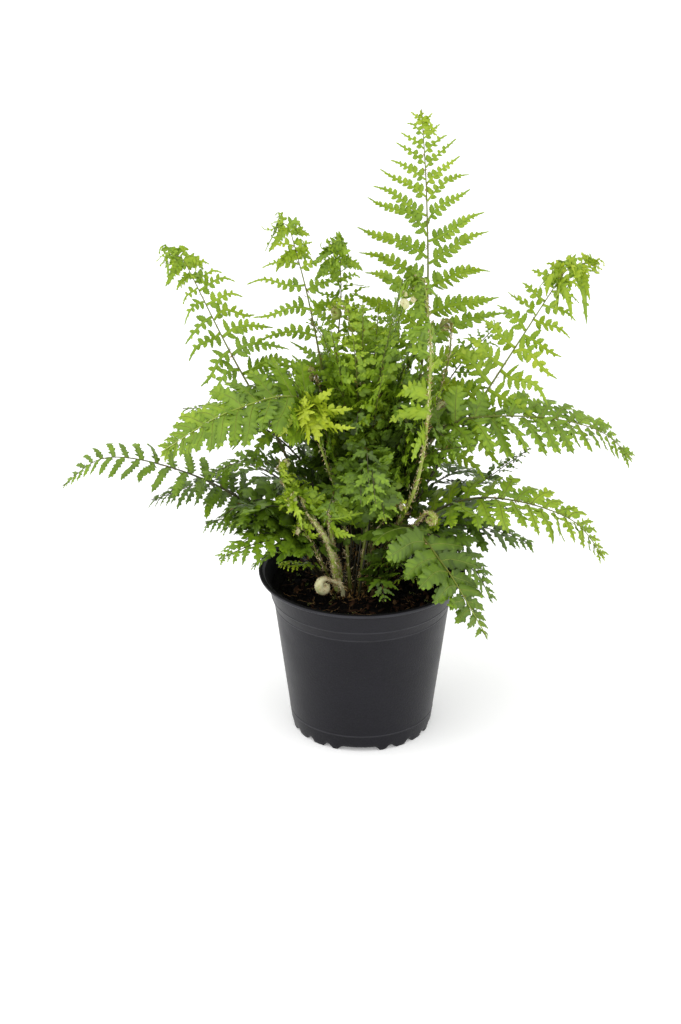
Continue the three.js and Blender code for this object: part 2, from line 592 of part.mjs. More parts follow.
// The triangles of a plate whose vertices are numbered, without its root face.
function plateTriangles(rows, tip, mirrored) {
  const triangles = [];
  const add = (a, b, c) => triangles.push(mirrored ? [a, c, b] : [a, b, c]);
  const quad = (a, b, c, d) => {
    add(a, b, c);
    add(a, c, d);
  };
  for (let i = 0; i + 1 < rows.length; i += 1) {
    const [[lowTop, lowBottom], [highTop, highBottom]] = rows[i];
    const [[nextLowTop, nextLowBottom], [nextHighTop, nextHighBottom]] = rows[i + 1];
    quad(lowTop, highTop, nextHighTop, nextLowTop);
    add(lowBottom, nextHighBottom, highBottom);
    add(lowBottom, nextLowBottom, nextHighBottom);
    quad(lowTop, nextLowTop, nextLowBottom, lowBottom);
    quad(nextHighTop, highTop, highBottom, nextHighBottom);
  }
  const [[lowTop, lowBottom], [highTop, highBottom]] = rows[rows.length - 1];
  add(lowTop, highTop, tip[0]);
  add(lowBottom, tip[1], highBottom);
  quad(lowTop, tip[0], tip[1], lowBottom);
  quad(tip[0], highTop, highBottom, tip[1]);
  return triangles;
}

// A closed solid of the rows of a plate from the given one outward, for measuring its gaps.
function plateSolid(shape, firstRow, mirrored) {
  const vertices = [];
  const number = (point) => vertices.push(point) - 1;
  const rows = shape.rows.slice(firstRow).map((row) => row.map((pair) => pair.map(number)));
  const tip = shape.tip.map(number);
  const triangles = plateTriangles(rows, tip, mirrored);
  const [[lowTop, lowBottom], [highTop, highBottom]] = rows[0];
  if (mirrored) {
    triangles.push([lowTop, highBottom, lowBottom], [lowTop, highTop, highBottom]);
  } else {
    triangles.push([lowTop, lowBottom, highTop], [lowBottom, highBottom, highTop]);
  }
  return solidFrom(vertices, triangles);
}

// Keeping leaflets apart

const placed = [];

function remember(owner, solid, more = {}) {
  const { min, max } = solid.boundingBox();
  placed.push({ owner, solid, min, max, ...more });
}

function near(box, other) {
  return [0, 1, 2].every(
    (i) => box.min[i] - CLEAR_GAP < other.max[i] && box.max[i] + CLEAR_GAP > other.min[i],
  );
}

// Leaflets of one stem share the rings that they start from. They may touch there, but what lies beyond a
// leaflet's first row stays clear of its neighbours, and all of it stays clear of the stem further along.
function clearOfOwn(leaflet, other, ring) {
  if (leaflet.solid.intersect(other.solid).volume() > TOUCHING_VOLUME) return false;
  const apart = (one, two) => one.minGap(two, CLEAR_GAP) >= OWN_GAP;
  if (other.outer) return apart(leaflet.outer, other.solid) && apart(leaflet.solid, other.outer);
  if (Math.abs(other.span - ring) > 1) return apart(leaflet.solid, other.solid);
  return leaflet.outer.intersect(other.solid).isEmpty();
}

function isClear(leaflet, owner, ring) {
  const box = leaflet.solid.boundingBox();
  return placed.every((other) => {
    if (!near(box, other)) return true;
    if (other.owner === owner) return clearOfOwn(leaflet, other, ring);
    return leaflet.solid.minGap(other.solid, CLEAR_GAP) >= CLEAR_GAP * 0.99;
  });
}

// A stem's rings and tip, with each span between two rings remembered for the leaflets to stay clear of.
function stemFrame(stem) {
  const { total, placeAt } = placesOn(stem);
  const { distances, firstPair } = ringDistances(stem, total);
  const places = distances.map((distance) => placeAt(distance));
  const rings = places.map((place) => ringAround(place, place.half));
  const last = places[places.length - 1];
  const beyond = total - distances[distances.length - 1] + TIP_BEYOND;
  const tip = last.point.clone().addScaledVector(last.along, beyond);
  for (let span = 0; span + 1 < rings.length; span += 1) {
    remember(stem.name, prism(rings[span], rings[span + 1]), { span });
  }
  return { stem, places, rings, tip, firstPair };
}

// One stem with its leaflets as a single closed mesh.
function leafyStem(frame, seed, material) {
  const { stem, places, rings, tip, firstPair } = frame;
  const vertices = [...rings.flat(), tip];
  const triangles = [[0, 2, 1], [0, 3, 2]];
  const number = (point) => vertices.push(point) - 1;
  const draw = drawsFrom(seed);
  const last = (rings.length - 1) * 4;
  const tipNumber = vertices.length - 1;
  for (let ring = 0; ring + 1 < rings.length; ring += 1) {
    const a = ring * 4;
    const wall = (corner, next) =>
      triangles.push([a + corner, a + next, a + 4 + next], [a + corner, a + 4 + next, a + 4 + corner]);
    wall(0, 1);
    wall(2, 3);
    for (const sign of [1, -1]) {
      const [top, bottom] = sign > 0 ? [0, 3] : [1, 2];
      const leaflet = ring >= firstPair ? chooseLeaflet(frame, ring, sign, draw, top, bottom) : null;
      if (leaflet) {
        const root = [[a + top, a + bottom], [a + 4 + top, a + 4 + bottom]];
        const rows = leaflet.rows.slice(1).map((row) => row.map((pair) => pair.map(number)));
        triangles.push(...plateTriangles([root, ...rows], leaflet.tip.map(number), sign < 0));
      } else if (sign > 0) {
        wall(3, 0);
      } else {
        wall(1, 2);
      }
    }
  }
  for (let corner = 0; corner < 4; corner += 1) {
    triangles.push([last + corner, last + ((corner + 1) % 4), tipNumber]);
  }
  return meshFrom(stem.name, vertices, triangles, material);
}

// The first way of bending one leaflet that keeps it clear of all that is placed, or null.
function chooseLeaflet(frame, ring, sign, draw, top, bottom) {
  const { stem, places, rings, firstPair } = frame;
  const share = (ring - firstPair + 0.5) / stem.pairs;
  const draws = { sweep: draw(), lift: draw(), length: draw(), droop: draw() };
  const root = [[rings[ring][top], rings[ring][bottom]], [rings[ring + 1][top], rings[ring + 1][bottom]]];
  for (const bend of BENDS) {
    const points = leafletPoints(stem, places[ring], places[ring + 1], share, sign, draws, bend);
    const shape = plate(points, root);
    const leaflet = { solid: plateSolid(shape, 0, sign < 0), outer: plateSolid(shape, 1, sign < 0) };
    if (isClear(leaflet, stem.name, ring)) {
      remember(stem.name, leaflet.solid, { outer: leaflet.outer });
      return shape;
    }
    leaflet.solid.delete();
    leaflet.outer.delete();
  }
  return null;
}

// The hole that a stem stands in: its first stretch, grown by the gap all round.
function stemHole(frame) {
  const { places } = frame;
  const half = places[0].half + TOUCHING_GAP;
  const below = places[0].point.clone().addScaledVector(places[0].along, -TOUCHING_GAP);
  return prism(ringAround({ ...places[0], point: below }, half), ringAround(places[1], half));
}

// The main body of a solid, without the loose slivers that close holes leave between them.
function largestBody(solid) {
  return solid.decompose().reduce((best, body) => (body.volume() > best.volume() ? body : best));
}

function assemble() {
  const group = new THREE.Group();
  const pot = makePot();
  const wholeCrown = crownBody(0);
  const stems = [...FRONDS, ...YOUNG];
  const frames = stems.map(stemFrame);
  const crown = largestBody(wasm.Manifold.difference([wholeCrown, ...frames.map(stemHole)])).simplify(SLIVER);
  const soil = soilBody().subtract(crownBody(TOUCHING_GAP));
  remember("pot", pot);
  remember("soil", soil);
  remember("crown", wholeCrown);
  group.add(meshFromSolid("pot", pot, MATERIALS.pot));
  group.add(meshFromSolid("soil", soil, MATERIALS.soil));
  group.add(meshFromSolid("crown", crown, MATERIALS.crown));
  frames.forEach((frame, i) => {
    const material = i < FRONDS.length ? MATERIALS.frond : MATERIALS.young;
    group.add(leafyStem(frame, FIRST_SEED + SEED_STEP * i, material));
  });
  return group;
}

export default assemble();
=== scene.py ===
import math

import bpy
import numpy as np
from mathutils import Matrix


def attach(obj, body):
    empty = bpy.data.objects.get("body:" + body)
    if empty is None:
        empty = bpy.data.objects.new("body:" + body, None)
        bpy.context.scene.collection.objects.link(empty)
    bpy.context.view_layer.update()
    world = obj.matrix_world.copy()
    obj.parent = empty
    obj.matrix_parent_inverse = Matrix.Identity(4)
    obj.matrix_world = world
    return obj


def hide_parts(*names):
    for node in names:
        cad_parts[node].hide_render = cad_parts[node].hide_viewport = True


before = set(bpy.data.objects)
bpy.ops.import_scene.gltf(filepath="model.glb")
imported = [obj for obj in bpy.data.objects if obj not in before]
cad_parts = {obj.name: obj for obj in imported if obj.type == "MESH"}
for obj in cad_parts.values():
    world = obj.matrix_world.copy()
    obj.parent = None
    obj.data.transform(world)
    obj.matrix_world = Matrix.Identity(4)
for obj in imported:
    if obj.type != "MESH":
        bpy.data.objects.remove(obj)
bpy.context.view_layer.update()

UP = np.array([0.0, 0.0, 1.0])

# Where the stems grow from, and how a stem and its leaflets are laid out, as in the nodes' solids. Each share
# is of the stem's or the leaflet's length. A name with CHANCE gives how much a random draw adds.
CROWN_AT = (-5.0, -2.0)
CROWN_RADIUS = 26.0
CROWN_TOP = 104.0
ROOT_HEIGHT = 95.0
CURVE_STEPS = 20
CURL_STEPS = 20
CURL_CLOSING = 0.62
HOLE_LENGTH = 15.0
LAST_PAIR_AT = 0.985
THINNEST_STEM, STEM_TAPER = 0.45, 0.68
SWEEP_LOST_TO_TIP, SWEEP_CHANCE = 20.0, 8
LIFT, LIFT_CHANCE = 6, 16
LEAST_LENGTH, LENGTH_CHANCE = 0.9, 0.2
DROOP, DROOP_CHANCE, DROOP_WHERE_LEVEL = 0.05, 0.08, 0.13
WIDTH_OF_SPACING = 0.8
BLADE_THICKNESS = 0.7
TIP_FORWARD = 0.06
FIRST_SEED = 100
SEED_STEP = 37
BENDS = [(0, 1), (15, 1), (-15, 1), (28, 1), (-28, 1), (0, 0.72), (18, 0.72), (-18, 0.72),
         (34, 0.72), (-34, 0.72), (0, 0.45), (25, 0.45), (-25, 0.45)]
BEND_FOUND_WITHIN = 0.02

# How the curl goes on inwards here beyond the node's own
COIL_STEP = math.radians(24)
COIL_STEPS = 26
COIL_TIGHTENING = 0.8

# A frond's values in order. Down to thick they are those of its node: the azimuth that it leans to, its foot
# (azimuth and distance from the crown's middle), its bends (reach, height and some with a shift aside), the
# share that is bare, the pairs and the length of its leaflets, the degrees that its blade is rolled, and half
# its thickness. Then come its tone from dark green at 0 to fresh yellow-green at 1, the distance between its
# pinnae, how far a pinna fills this distance, and how thickly the stem is set with scales.
FROND_VALUES = ["name", "towards", "foot", "through", "bare", "pairs", "leaflet", "roll", "thick", "tone",
                "spacing", "fill", "scaly"]

# Values of each stem whose row gives no other. A pair is for both sides, the aside direction's first.
STEM_DEFAULTS = dict(
    roll=0, sweep=74.0, taper=2.5, slim=0.4,  # the node's: its leaflets' angle, shortening and width
    swung=0, upswept=0.0,  # degrees that its pinnae are swung out, and swept up again towards the tip
    stretch=1.0, hanging=0.0,  # what their length is multiplied by, and what is added to their droop
    tipped=0.15,  # the least length of a pinna near the frond's tip, as a share of the longest
    curly=0.4, louvre=0.0,  # how unevenly a pinna bends and twists, and the turn about its rib in radians
    blunt=1.7, fused=0.16,  # how late a pinna narrows, and the share of its width where pinnules are joined
    pinnule=3.9, apart=1.0,  # the distance between pinnules, and the width of each against it
    lower=(),  # single pinnae that are added: the share of the stem's length, the side and the length
    head=0, head_droop=1.0,  # how many small rolled pinnae the opening tip has, and how far they hang
    grown=1.35, wool=0.95, woolly=1.0,  # a young frond's pinna length, and its coil's tone and scales
    swollen=0.42, buds=())  # a coil's thickness, and the shifts and sizes of smaller coils beside it

# Some also have curl (radius and turns of a tip that is still curled), light_rib (how much paler the ribs
# are), head_length and head_half (length and half width of a head's pinnae), or plump (a furry stem's
# thickness against a plain one).


def frond(*values, **looks):
    """A leafy stem, from the values that FROND_VALUES names."""
    return {**STEM_DEFAULTS, **dict(zip(FROND_VALUES, values)), **looks}


def crozier(name, towards, foot, through, thick, curl, wool, scaly=3.0, **looks):
    """A leafless stem that is still coiled."""
    return {**STEM_DEFAULTS, "name": name, "towards": towards, "foot": foot, "through": through, "pairs": 0,
            "thick": thick, "curl": curl, "wool": wool, "scaly": scaly, **looks}


FRONDS = [
    frond("frond_tall", 50, (53, 11), [(47, 180, 1), (62, 257), (61, 336), (55, 396)], 0.3, 16, 46, 36, 1.7,
          0.62, 14.2, 0.78, 0.5, sweep=70, taper=3, upswept=8, curly=0.12, blunt=1.9, tipped=0.18,
          stretch=1.16, lower=[(0.962, -1, 9), (0.975, -1, 8), (0.95, -1, 10)], pinnule=4.3, apart=0.93),
    frond("frond_left_front", 197, (174, 11), [(12, 160, -4), (40, 229), (85, 226), (128, 205)], 0.45, 12,
          33, -25, 1.5, 0.49, 8.8, 1.2, 0.3, louvre=0.08, curly=0.12, blunt=4.5, fused=0.6, tipped=0.22,
          light_rib=0.45),
    frond("frond_front_right", 322, (321, 17), [(18, 130, -3), (34, 147, 1), (62, 130), (97, 90)], 0.3, 12,
          31, 0, 1.5, 0.32, 10.2, 1.25, 0.3, louvre=0.1, curly=0.2, blunt=3.6, fused=0.7, tipped=0.1,
          light_rib=0.5, swung=(-8, 34), stretch=(0.8, 1.15), pinnule=5.0, apart=1.12),
    frond("frond_right_upright", 18, (23, 12), [(41, 158), (90, 231), (128, 288)], 0.36, 13, 33, 50, 1.5,
          0.68, 11.2, 0.95, 0.5, slim=0.32, curl=(20, 0.36), pinnule=5.2, curly=0.55, blunt=1.5,
          tipped=0.34, head=18, head_length=17, swung=12, hanging=0.08, stretch=1.12, head_droop=2.0,
          apart=0.82),
    frond("frond_left_upright", 165, (152, 13), [(50, 184, 2), (86, 249), (112, 302)], 0.4, 12, 30, -45,
          1.5, 0.6, 11.2, 0.9, 0.4, slim=0.3, curl=(10, 0.48), pinnule=4.8, curly=0.7, blunt=1.3,
          tipped=0.34, head=16, head_length=13, swung=26, hanging=0.16, stretch=(0.9, 1.45), head_droop=1.5,
          apart=0.82),
    frond("frond_upper_left", 135, (108, 9), [(28, 201), (47, 276), (62, 316)], 0.45, 11, 34, -35, 1.5,
          0.64, 15.5, 0.56, 0.5, slim=0.26, curl=(8, 0.55), pinnule=4.4, curly=0.6, blunt=1.3, tipped=0.34,
          head=16, head_length=13, swung=12, stretch=(1.35, 0.9), head_droop=1.3, apart=0.85),
    frond("frond_centre", 118, (103, 14), [(19, 147, -1), (29, 212, 4), (32, 278, -2), (29, 305)], 0.45, 10,
          31, -20, 1.5, 0.54, 9.0, 0.9, 0.5, slim=0.32, curl=(7, 0.55), curly=0.8, blunt=1.5, tipped=0.4,
          head=18, head_length=15, head_droop=1.3, apart=0.85),
    frond("frond_far_right", 5, (2, 14), [(24, 154, -2), (50, 202), (100, 208), (148, 196), (169, 176)],
          0.38, 13, 29, 20, 1.4, 0.5, 8.6, 1.2, 0.3, pinnule=4.0, louvre=0.15, curly=0.4, blunt=4.2,
          hanging=(0.0, 0.1), light_rib=0.12, apart=0.98, fused=0.34, tipped=0.28),
    frond("frond_low_right", 350, (352, 18), [(32, 137, 2), (70, 160, 4), (130, 151, 3), (152, 128)], 0.3,
          12, 27, 20, 1.4, 0.62, 8.6, 1.05, 0.3, pinnule=4.2, louvre=0.15, curly=0.35, blunt=3.4,
          stretch=(1.0, 1.05), light_rib=0.12, fused=0.34, apart=0.98, tipped=0.26),
    frond("frond_low_right_dark", 8, (9, 18), [(39, 131), (75, 130, 3), (109, 117)], 0.35, 8, 20, 10, 1.2,
          0.24, 7.4, 1.3, 0.2, curly=0.3, blunt=4.0, hanging=(0.1, 0.2), fused=0.55, tipped=0.3),
    frond("frond_front_right_short", 335, (336, 18),
          [(26, 134, -5), (50, 142, -1), (77, 122, 1), (88, 104)], 0.35, 8, 22, 0, 1.2, 0.3, 7.6, 1.0, 0.2,
          curly=0.3, blunt=3.4, fused=0.5, tipped=0.28),
    frond("frond_far_left", 178, (179, 18), [(63, 142, -4), (107, 172, 1), (160, 182, 1), (187, 162)], 0.3,
          13, 21, -15, 1.4, 0.42, 9.2, 0.5, 0.3, swung=9, curly=0.2, blunt=7.0, fused=0.6, pinnule=2.6,
          stretch=1.2),
    frond("frond_left_dark", 170, (165, 18), [(60, 136), (95, 158), (135, 144)], 0.32, 9, 20, -10, 1.2,
          0.24, 6.6, 0.95, 0.2, curly=0.25, blunt=4.0, hanging=(0.25, 0.1), fused=0.4, tipped=0.3,
          pinnule=2.8),
    frond("frond_left_behind", 160, (132, 11), [(24, 186), (48, 225), (93, 211)], 0.45, 9, 26, -10, 1.3,
          0.34, 8.2, 0.95, 0.3),
    frond("frond_left_thin", 155, (152, 18), [(42, 169, -4), (89, 200, 2), (125, 194)], 0.4, 8, 18, -10,
          1.2, 0.4, 7.4, 0.9, 0.2),
    frond("frond_left_row", 188, (189, 14), [(39, 163, -1), (66, 188, 1), (99, 178)], 0.4, 8, 18, -10, 1.2,
          0.36, 6.6, 0.95, 0.2, blunt=3.4, fused=0.4, tipped=0.3, curly=0.3),
    frond("frond_low_left", 206, (206, 17), [(43, 131, -7), (70, 141), (98, 136)], 0.32, 7, 22, -10, 1.2,
          0.42, 7.6, 1.05, 0.2, curly=0.3, blunt=3.0, fused=0.35, tipped=0.28),
    frond("frond_low_left_dark", 186, (193, 18), [(39, 132), (66, 149), (98, 144)], 0.32, 8, 22, 0, 1.2,
          0.2, 6.8, 0.95, 0.2, hanging=(0.2, 0.1), blunt=3.5, fused=0.4, curly=0.3, tipped=0.3, pinnule=3.2),
    frond("frond_right_middle", 35, (35, 16), [(37, 173, 1), (70, 224), (106, 250)], 0.36, 9, 28, 35, 1.4,
          0.47, 9.8, 0.72, 0.4, blunt=1.6, pinnule=4.4, apart=0.85),
    frond("frond_right_thin", 20, (22, 18), [(46, 132, -1), (80, 154), (113, 173)], 0.4, 8, 16, 0, 1.1, 0.3,
          7.0, 0.85, 0.2),
    frond("frond_back_right", 62, (74, 14), [(30, 165, 3), (75, 205, -1), (135, 180)], 0.34, 9, 30, 0, 1.4,
          0.44, 9.4, 1.0, 0.3),
    frond("frond_back", 95, (88, 17), [(28, 165), (70, 213), (140, 190)], 0.34, 10, 31, 0, 1.4, 0.5, 9.6,
          1.0, 0.3),
    frond("frond_back_left", 125, (123, 15), [(28, 160, 1), (75, 198, 1), (140, 170)], 0.34, 9, 30, 0, 1.4,
          0.4, 9.4, 1.0, 0.3),
    frond("frond_low_back_right", 40, (49, 18), [(37, 138), (80, 150), (128, 124)], 0.32, 8, 25, 0, 1.3,
          0.3, 8.4, 1.0, 0.2),
    frond("frond_low_back", 78, (64, 18), [(37, 136, 7), (85, 158, -1), (128, 135)], 0.32, 8, 26, 0, 1.3,
          0.36, 8.4, 1.0, 0.2),
    frond("frond_low_back_left", 108, (111, 18), [(36, 136), (85, 154), (125, 125)], 0.32, 8, 25, 0, 1.3,
          0.28, 8.4, 1.0, 0.2),
    frond("frond_low_left_back", 144, (137, 18), [(38, 136), (85, 156, 1), (133, 130)], 0.32, 8, 24, 0, 1.3,
          0.3, 8.4, 1.0, 0.2),
    frond("frond_inner_left", 205, (253, 4), [(14, 160, 1), (27, 215), (50, 250)], 0.4, 7, 24, -20, 1.3,
          0.46, 8.2, 1.0, 0.4),
    frond("frond_inner_right", 22, (-8, 2), [(14, 165), (30, 220, 6), (62, 245)], 0.4, 7, 24, 20, 1.3, 0.5,
          8.2, 1.0, 0.4),
    frond("frond_inner_front", 280, (274, 8), [(9, 150), (14, 182), (32, 204)], 0.45, 7, 20, 0, 1.2, 0.36,
          9.4, 1.1, 0.4, curly=0.2, blunt=3.0, stretch=1.35, pinnule=4.8, fused=0.6, apart=1.15),
    frond("frond_inner_back", 130, (79, 9), [(14, 180, -1), (27, 238, -2), (50, 262)], 0.45, 8, 22, -10,
          1.2, 0.5, 8.0, 1.0, 0.4, stretch=1.2),
    frond("frond_inner_low_right", 342, (367, 8), [(18, 150, 2), (38, 190, 1), (72, 203)], 0.4, 8, 22, 15,
          1.2, 0.4, 7.8, 1.0, 0.4),
    frond("sprout_left", 204, (218, 18), [(32, 116), (56, 121)], 0.4, 5, 10, 0, 0.8, 0.7, 3.6, 1.1, 0.2),
    frond("sprout_front", 300, (291, 18), [(19, 117), (30, 124)], 0.62, 4, 10, 0, 0.8, 0.34, 3.4, 1.1, 0.2,
          stretch=1.6),
    frond("sprout_right", 330, (305, 18), [(33, 111), (50, 108)], 0.4, 5, 10, 0, 0.8, 0.74, 3.6, 1.1, 0.2),
]

YOUNG = [
    frond("crook_tall", 330, (332, 9), [(16, 125), (39, 178), (47, 262), (43, 306)], 0.72, 8, 15, 0, 1.9,
          0.54, 5.0, 1.1, 2.2, curl=(7, -0.75),
          lower=[(0.5, -1, 24), (0.56, -1, 26), (0.62, -1, 23), (0.69, 1, 17)], head=8, head_length=12,
          buds=[(-6, -9, -8, 0.9), (-6, -8, -2, 0.5), (-1, -8, -6, 0.5)]),
    frond("crook_upper", 150, (170, 3), [(3, 180, -2), (2, 244), (10, 277)], 0.78, 6, 13, 0, 1.5, 0.7, 4.6,
          1.1, 1.6, curl=(8, 0.6), wool=0.6),
    frond("crook_left", 210, (261, 12), [(16, 150, 3), (30, 203, -1), (33, 222)], 0.78, 6, 20, 0, 1.6, 0.88,
          5.2, 1.2, 1.4, curl=(8, 0.6), grown=1.7, pinnule=4.4, head=12, head_length=17, head_half=0.5,
          head_droop=1.6),
    frond("crook_front_left", 216, (231, 15), [(29, 134, 5), (42, 160), (46, 170)], 0.66, 6, 15, 0, 2.1,
          0.66, 4.4, 1.2, 2.4, curl=(7, 0.5), plump=1.35, head=8, head_length=15),
    frond("crook_front", 228, (232, 9), [(24, 131, -3), (31, 156)], 0.66, 5, 17, 0, 1.8, 0.64, 4.4, 1.2,
          2.4, curl=(7.5, -0.45), grown=1.5, plump=1.4, head=8, head_length=17),
    frond("crook_small_left", 210, (205, 12), [(33, 126, 2), (42, 146)], 0.7, 3, 8, 0, 1.2, 0.7, 3.4, 1.2,
          1.8, curl=(4, 0.6)),
    frond("crook_hairy_left", 202, (194, 8), [(30, 140, 3), (50, 170), (55, 186)], 0.6, 5, 12, 0, 1.5, 0.72,
          4.2, 1.2, 2.2, curl=(5, -0.5)),
    frond("crook_front_right", 312, (283, 14), [(14, 145, -8), (22, 180, -1), (22, 188)], 0.68, 6, 15, 0,
          1.8, 0.84, 4.6, 1.2, 2.0, curl=(6, -0.5)),
    frond("crook_short_right", 318, (307, 14), [(16, 140, -4), (28, 162)], 0.7, 3, 8, 0, 1.3, 0.8, 3.6, 1.2,
          1.8, curl=(4, 0.6)),
    crozier("crozier_pale", 232, (249, 18), [(27, 108, 4), (35, 114)], 1.6, (4.8, 0.9), 1.0, swollen=0.62),
    crozier("crozier_back", 148, (142, 7), [(14, 170), (34, 232)], 1.3, (5, 1), 0.7),
    crozier("crozier_centre", 330, (299, 10), [(10, 160, 1), (16, 208)], 1.4, (5, -1), 0.6),
    crozier("crozier_right", 18, (42, 6), [(25, 150), (56, 208)], 1.3, (4.4, -1), 0.92),
    crozier("crozier_low_right", 331, (343, 14), [(24, 130, 2), (44, 156)], 1.3, (4.6, 0.9), 0.78,
            woolly=0.5),
    crozier("crozier_high_right", 24, (87, 4), [(31, 170, -1), (56, 240, -4), (60, 262)], 1.2, (4, -1),
            0.48, scaly=1.2, woolly=0.15),
]

# The fronds at the back and among others have plainer pinnules.
PLAIN_LEAVED = ["frond_left_behind", "frond_inner_back", "frond_left_thin", "frond_back_right", "frond_back",
                "frond_back_left", "frond_low_back_right", "frond_low_back", "frond_low_back_left",
                "frond_low_left_back"]

# Small fronds that only scene.py has, in one piece for each of four nodes. Some have set places (the azimuth,
# then the reach and height or the bends and the leaflet length, then the tone), and the rest come by chance.
INNER_NODES = ["frond_inner_left", "frond_inner_right", "frond_inner_front", "frond_inner_back"]
INNER_SEED = 900
# The tones of the low fronds below are dark, partly as painted shade under the plant.
LOW_LEFT_FRONDS = [(186, 78, 150, 0.22), (196, 82, 141, 0.36), (203, 74, 130, 0.34), (178, 88, 140, 0.24),
                   (190, 90, 158, 0.2)]
LOW_FRONT_FRONDS = [(288, [(25, 111), (34, 117), (45, 108)], 15, 0.3),
                    (303, [(24, 124), (33, 134), (45, 128)], 17, 0.22),
                    (318, [(26, 116), (36, 124), (50, 116)], 16, 0.26)]
MIDDLE_FRONDS = [(70, [(10, 180), (20, 235), (30, 276)], 25, 0.5),
                 (200, [(8, 185), (14, 240), (22, 280)], 22, 0.5),
                 (320, [(8, 190), (14, 245), (24, 285)], 23, 0.54),
                 (250, [(6, 190), (10, 240), (18, 275)], 22, 0.56),
                 (270, [(4, 190), (6, 250), (10, 292)], 22, 0.5),
                 (350, [(8, 195), (16, 255), (26, 292)], 22, 0.44),
                 (40, [(12, 195), (22, 255), (32, 295)], 24, 0.46),
                 (15, [(12, 190), (30, 245), (52, 268)], 25, 0.34),
                 (300, [(8, 170), (14, 215), (24, 250)], 24, 0.54),
                 (20, [(14, 175), (24, 230), (36, 270)], 26, 0.56),
                 (160, [(10, 180), (16, 230), (26, 264)], 24, 0.5),
                 (350, [(18, 165), (34, 212), (54, 240)], 26, 0.58)]
CHANCE_FRONDS = 31
GOLDEN_ANGLE = 137.5

# Changed values of the small pinnae in an opening head, and of the single ones that are added
HEAD_FORM = dict(blunt=2.6, fused=0.45, pinnule=2.9, swung=15)
LOWER_FORM = dict(blunt=1.9, fused=0.4, pinnule=3.3)

# Material slots of a plant's piece, and the points along a pinna's rib
LEAF, STALK, SCALE = 0, 1, 2
PINNA_POINTS = 9

# How unevenly a pinna sways, arches and twists: the least standard deviation, and what a curly of 1 adds
SWAY, ARCH, TWIST, TWIST_TO_TIP = (0.02, 0.03), (0.03, 0.05), (0.12, 0.25), (0.15, 0.6)
MIDRIB_RADII, MIDRIB_RISE, MIDRIB_TONE = (0.26, 0.12), 0.25, 0.5

# How pinnules lie on a pinna. Angles are in degrees; a pair is the middle and the standard deviation, or the
# least and the most.
FEWEST_PINNULES, MOST_PINNULES = 3, 12
PINNULES_FROM, PINNULES_OVER, STAGGER = 0.05, 0.9, 0.2
LEAN, LEAN_ADDED_TO_TIP, LEAN_CHANCE, LEAN_LIMITS = 20, 22, 6, (5, 60)
TILT_CHANCE, RAISED, CUPPED = 13, (2, 10), 30
PINNULE_LENGTHS, PINNULE_WIDTHS, SHORTEST_PINNULE = (0.88, 1.1), (0.9, 1.08), 0.14
FIRST_PINNULE_LONGER, OVERLAP = 1.3, 1.06
END_PINNULE_AT = 0.93

# A pinnule's outline as shares of its length and width, from its foot round by the tip, with the thumb on the
# side of the pinna's tip, and the points of its midrib.
FINE_OUTLINE = [(0.0, -0.08), (0.12, -0.28), (0.3, -0.47), (0.38, -0.38), (0.53, -0.5), (0.61, -0.37),
                (0.77, -0.4), (0.82, -0.24), (0.97, -0.2), (1.07, 0.14), (0.9, 0.19), (0.85, 0.36),
                (0.69, 0.35), (0.6, 0.52), (0.43, 0.43), (0.32, 0.64), (0.13, 0.46), (0.0, 0.1)]
FINE_MIDRIB = [(0.3, 0.0), (0.66, 0.0)]
LIGHT_OUTLINE = [(0.0, -0.08), (0.25, -0.47), (0.55, -0.48), (0.88, -0.28), (1.06, 0.14), (0.82, 0.38),
                 (0.55, 0.48), (0.27, 0.62), (0.0, 0.1)]
LIGHT_MIDRIB = [(0.42, 0.0)]
LEAF_HALF_THICKNESS = 0.09


def draws_from(seed):
    """Even random numbers from 0 to 1, the same ones for the same seed."""
    state = seed
    while True:
        state = (state * 1664525 + 1013904223) % 4294967296
        yield state / 4294967296


def unit(v):
    return v / np.linalg.norm(v, axis=-1, keepdims=True)


def on_circle(radius, degrees, height=0.0):
    angle = math.radians(degrees)
    return np.array([radius * math.cos(angle), radius * math.sin(angle), height])


def flat_points(radius, angles):
    return np.stack([radius * np.cos(angles), radius * np.sin(angles)], -1)


def chance_disc(count, reach, rng):
    """Flat points scattered evenly over a disc."""
    angles = rng.uniform(0, 2 * math.pi, count)
    return flat_points(reach * np.sqrt(rng.uniform(0, 1, count)), angles)


def ring_numbers(sides):
    """The number of each point in a ring, and of the one after it."""
    here = np.arange(sides)
    return here, (here + 1) % sides


def mound_faces(rings, sides):
    """The faces of a closed body: a middle point, rings that go outwards and then down, and a last middle."""
    here, after = ring_numbers(sides)
    faces = [np.stack([np.zeros(sides, int), 1 + here, 1 + after], -1)]
    for k in range(rings - 1):
        a, b = 1 + k * sides, 1 + (k + 1) * sides
        faces += [np.stack([a + here, b + here, b + after], -1),
                  np.stack([a + here, b + after, a + after], -1)]
    last = 1 + (rings - 1) * sides
    faces.append(np.stack([last + here, np.full(sides, last + sides), last + after], -1))
    return np.concatenate(faces)


# Meshes


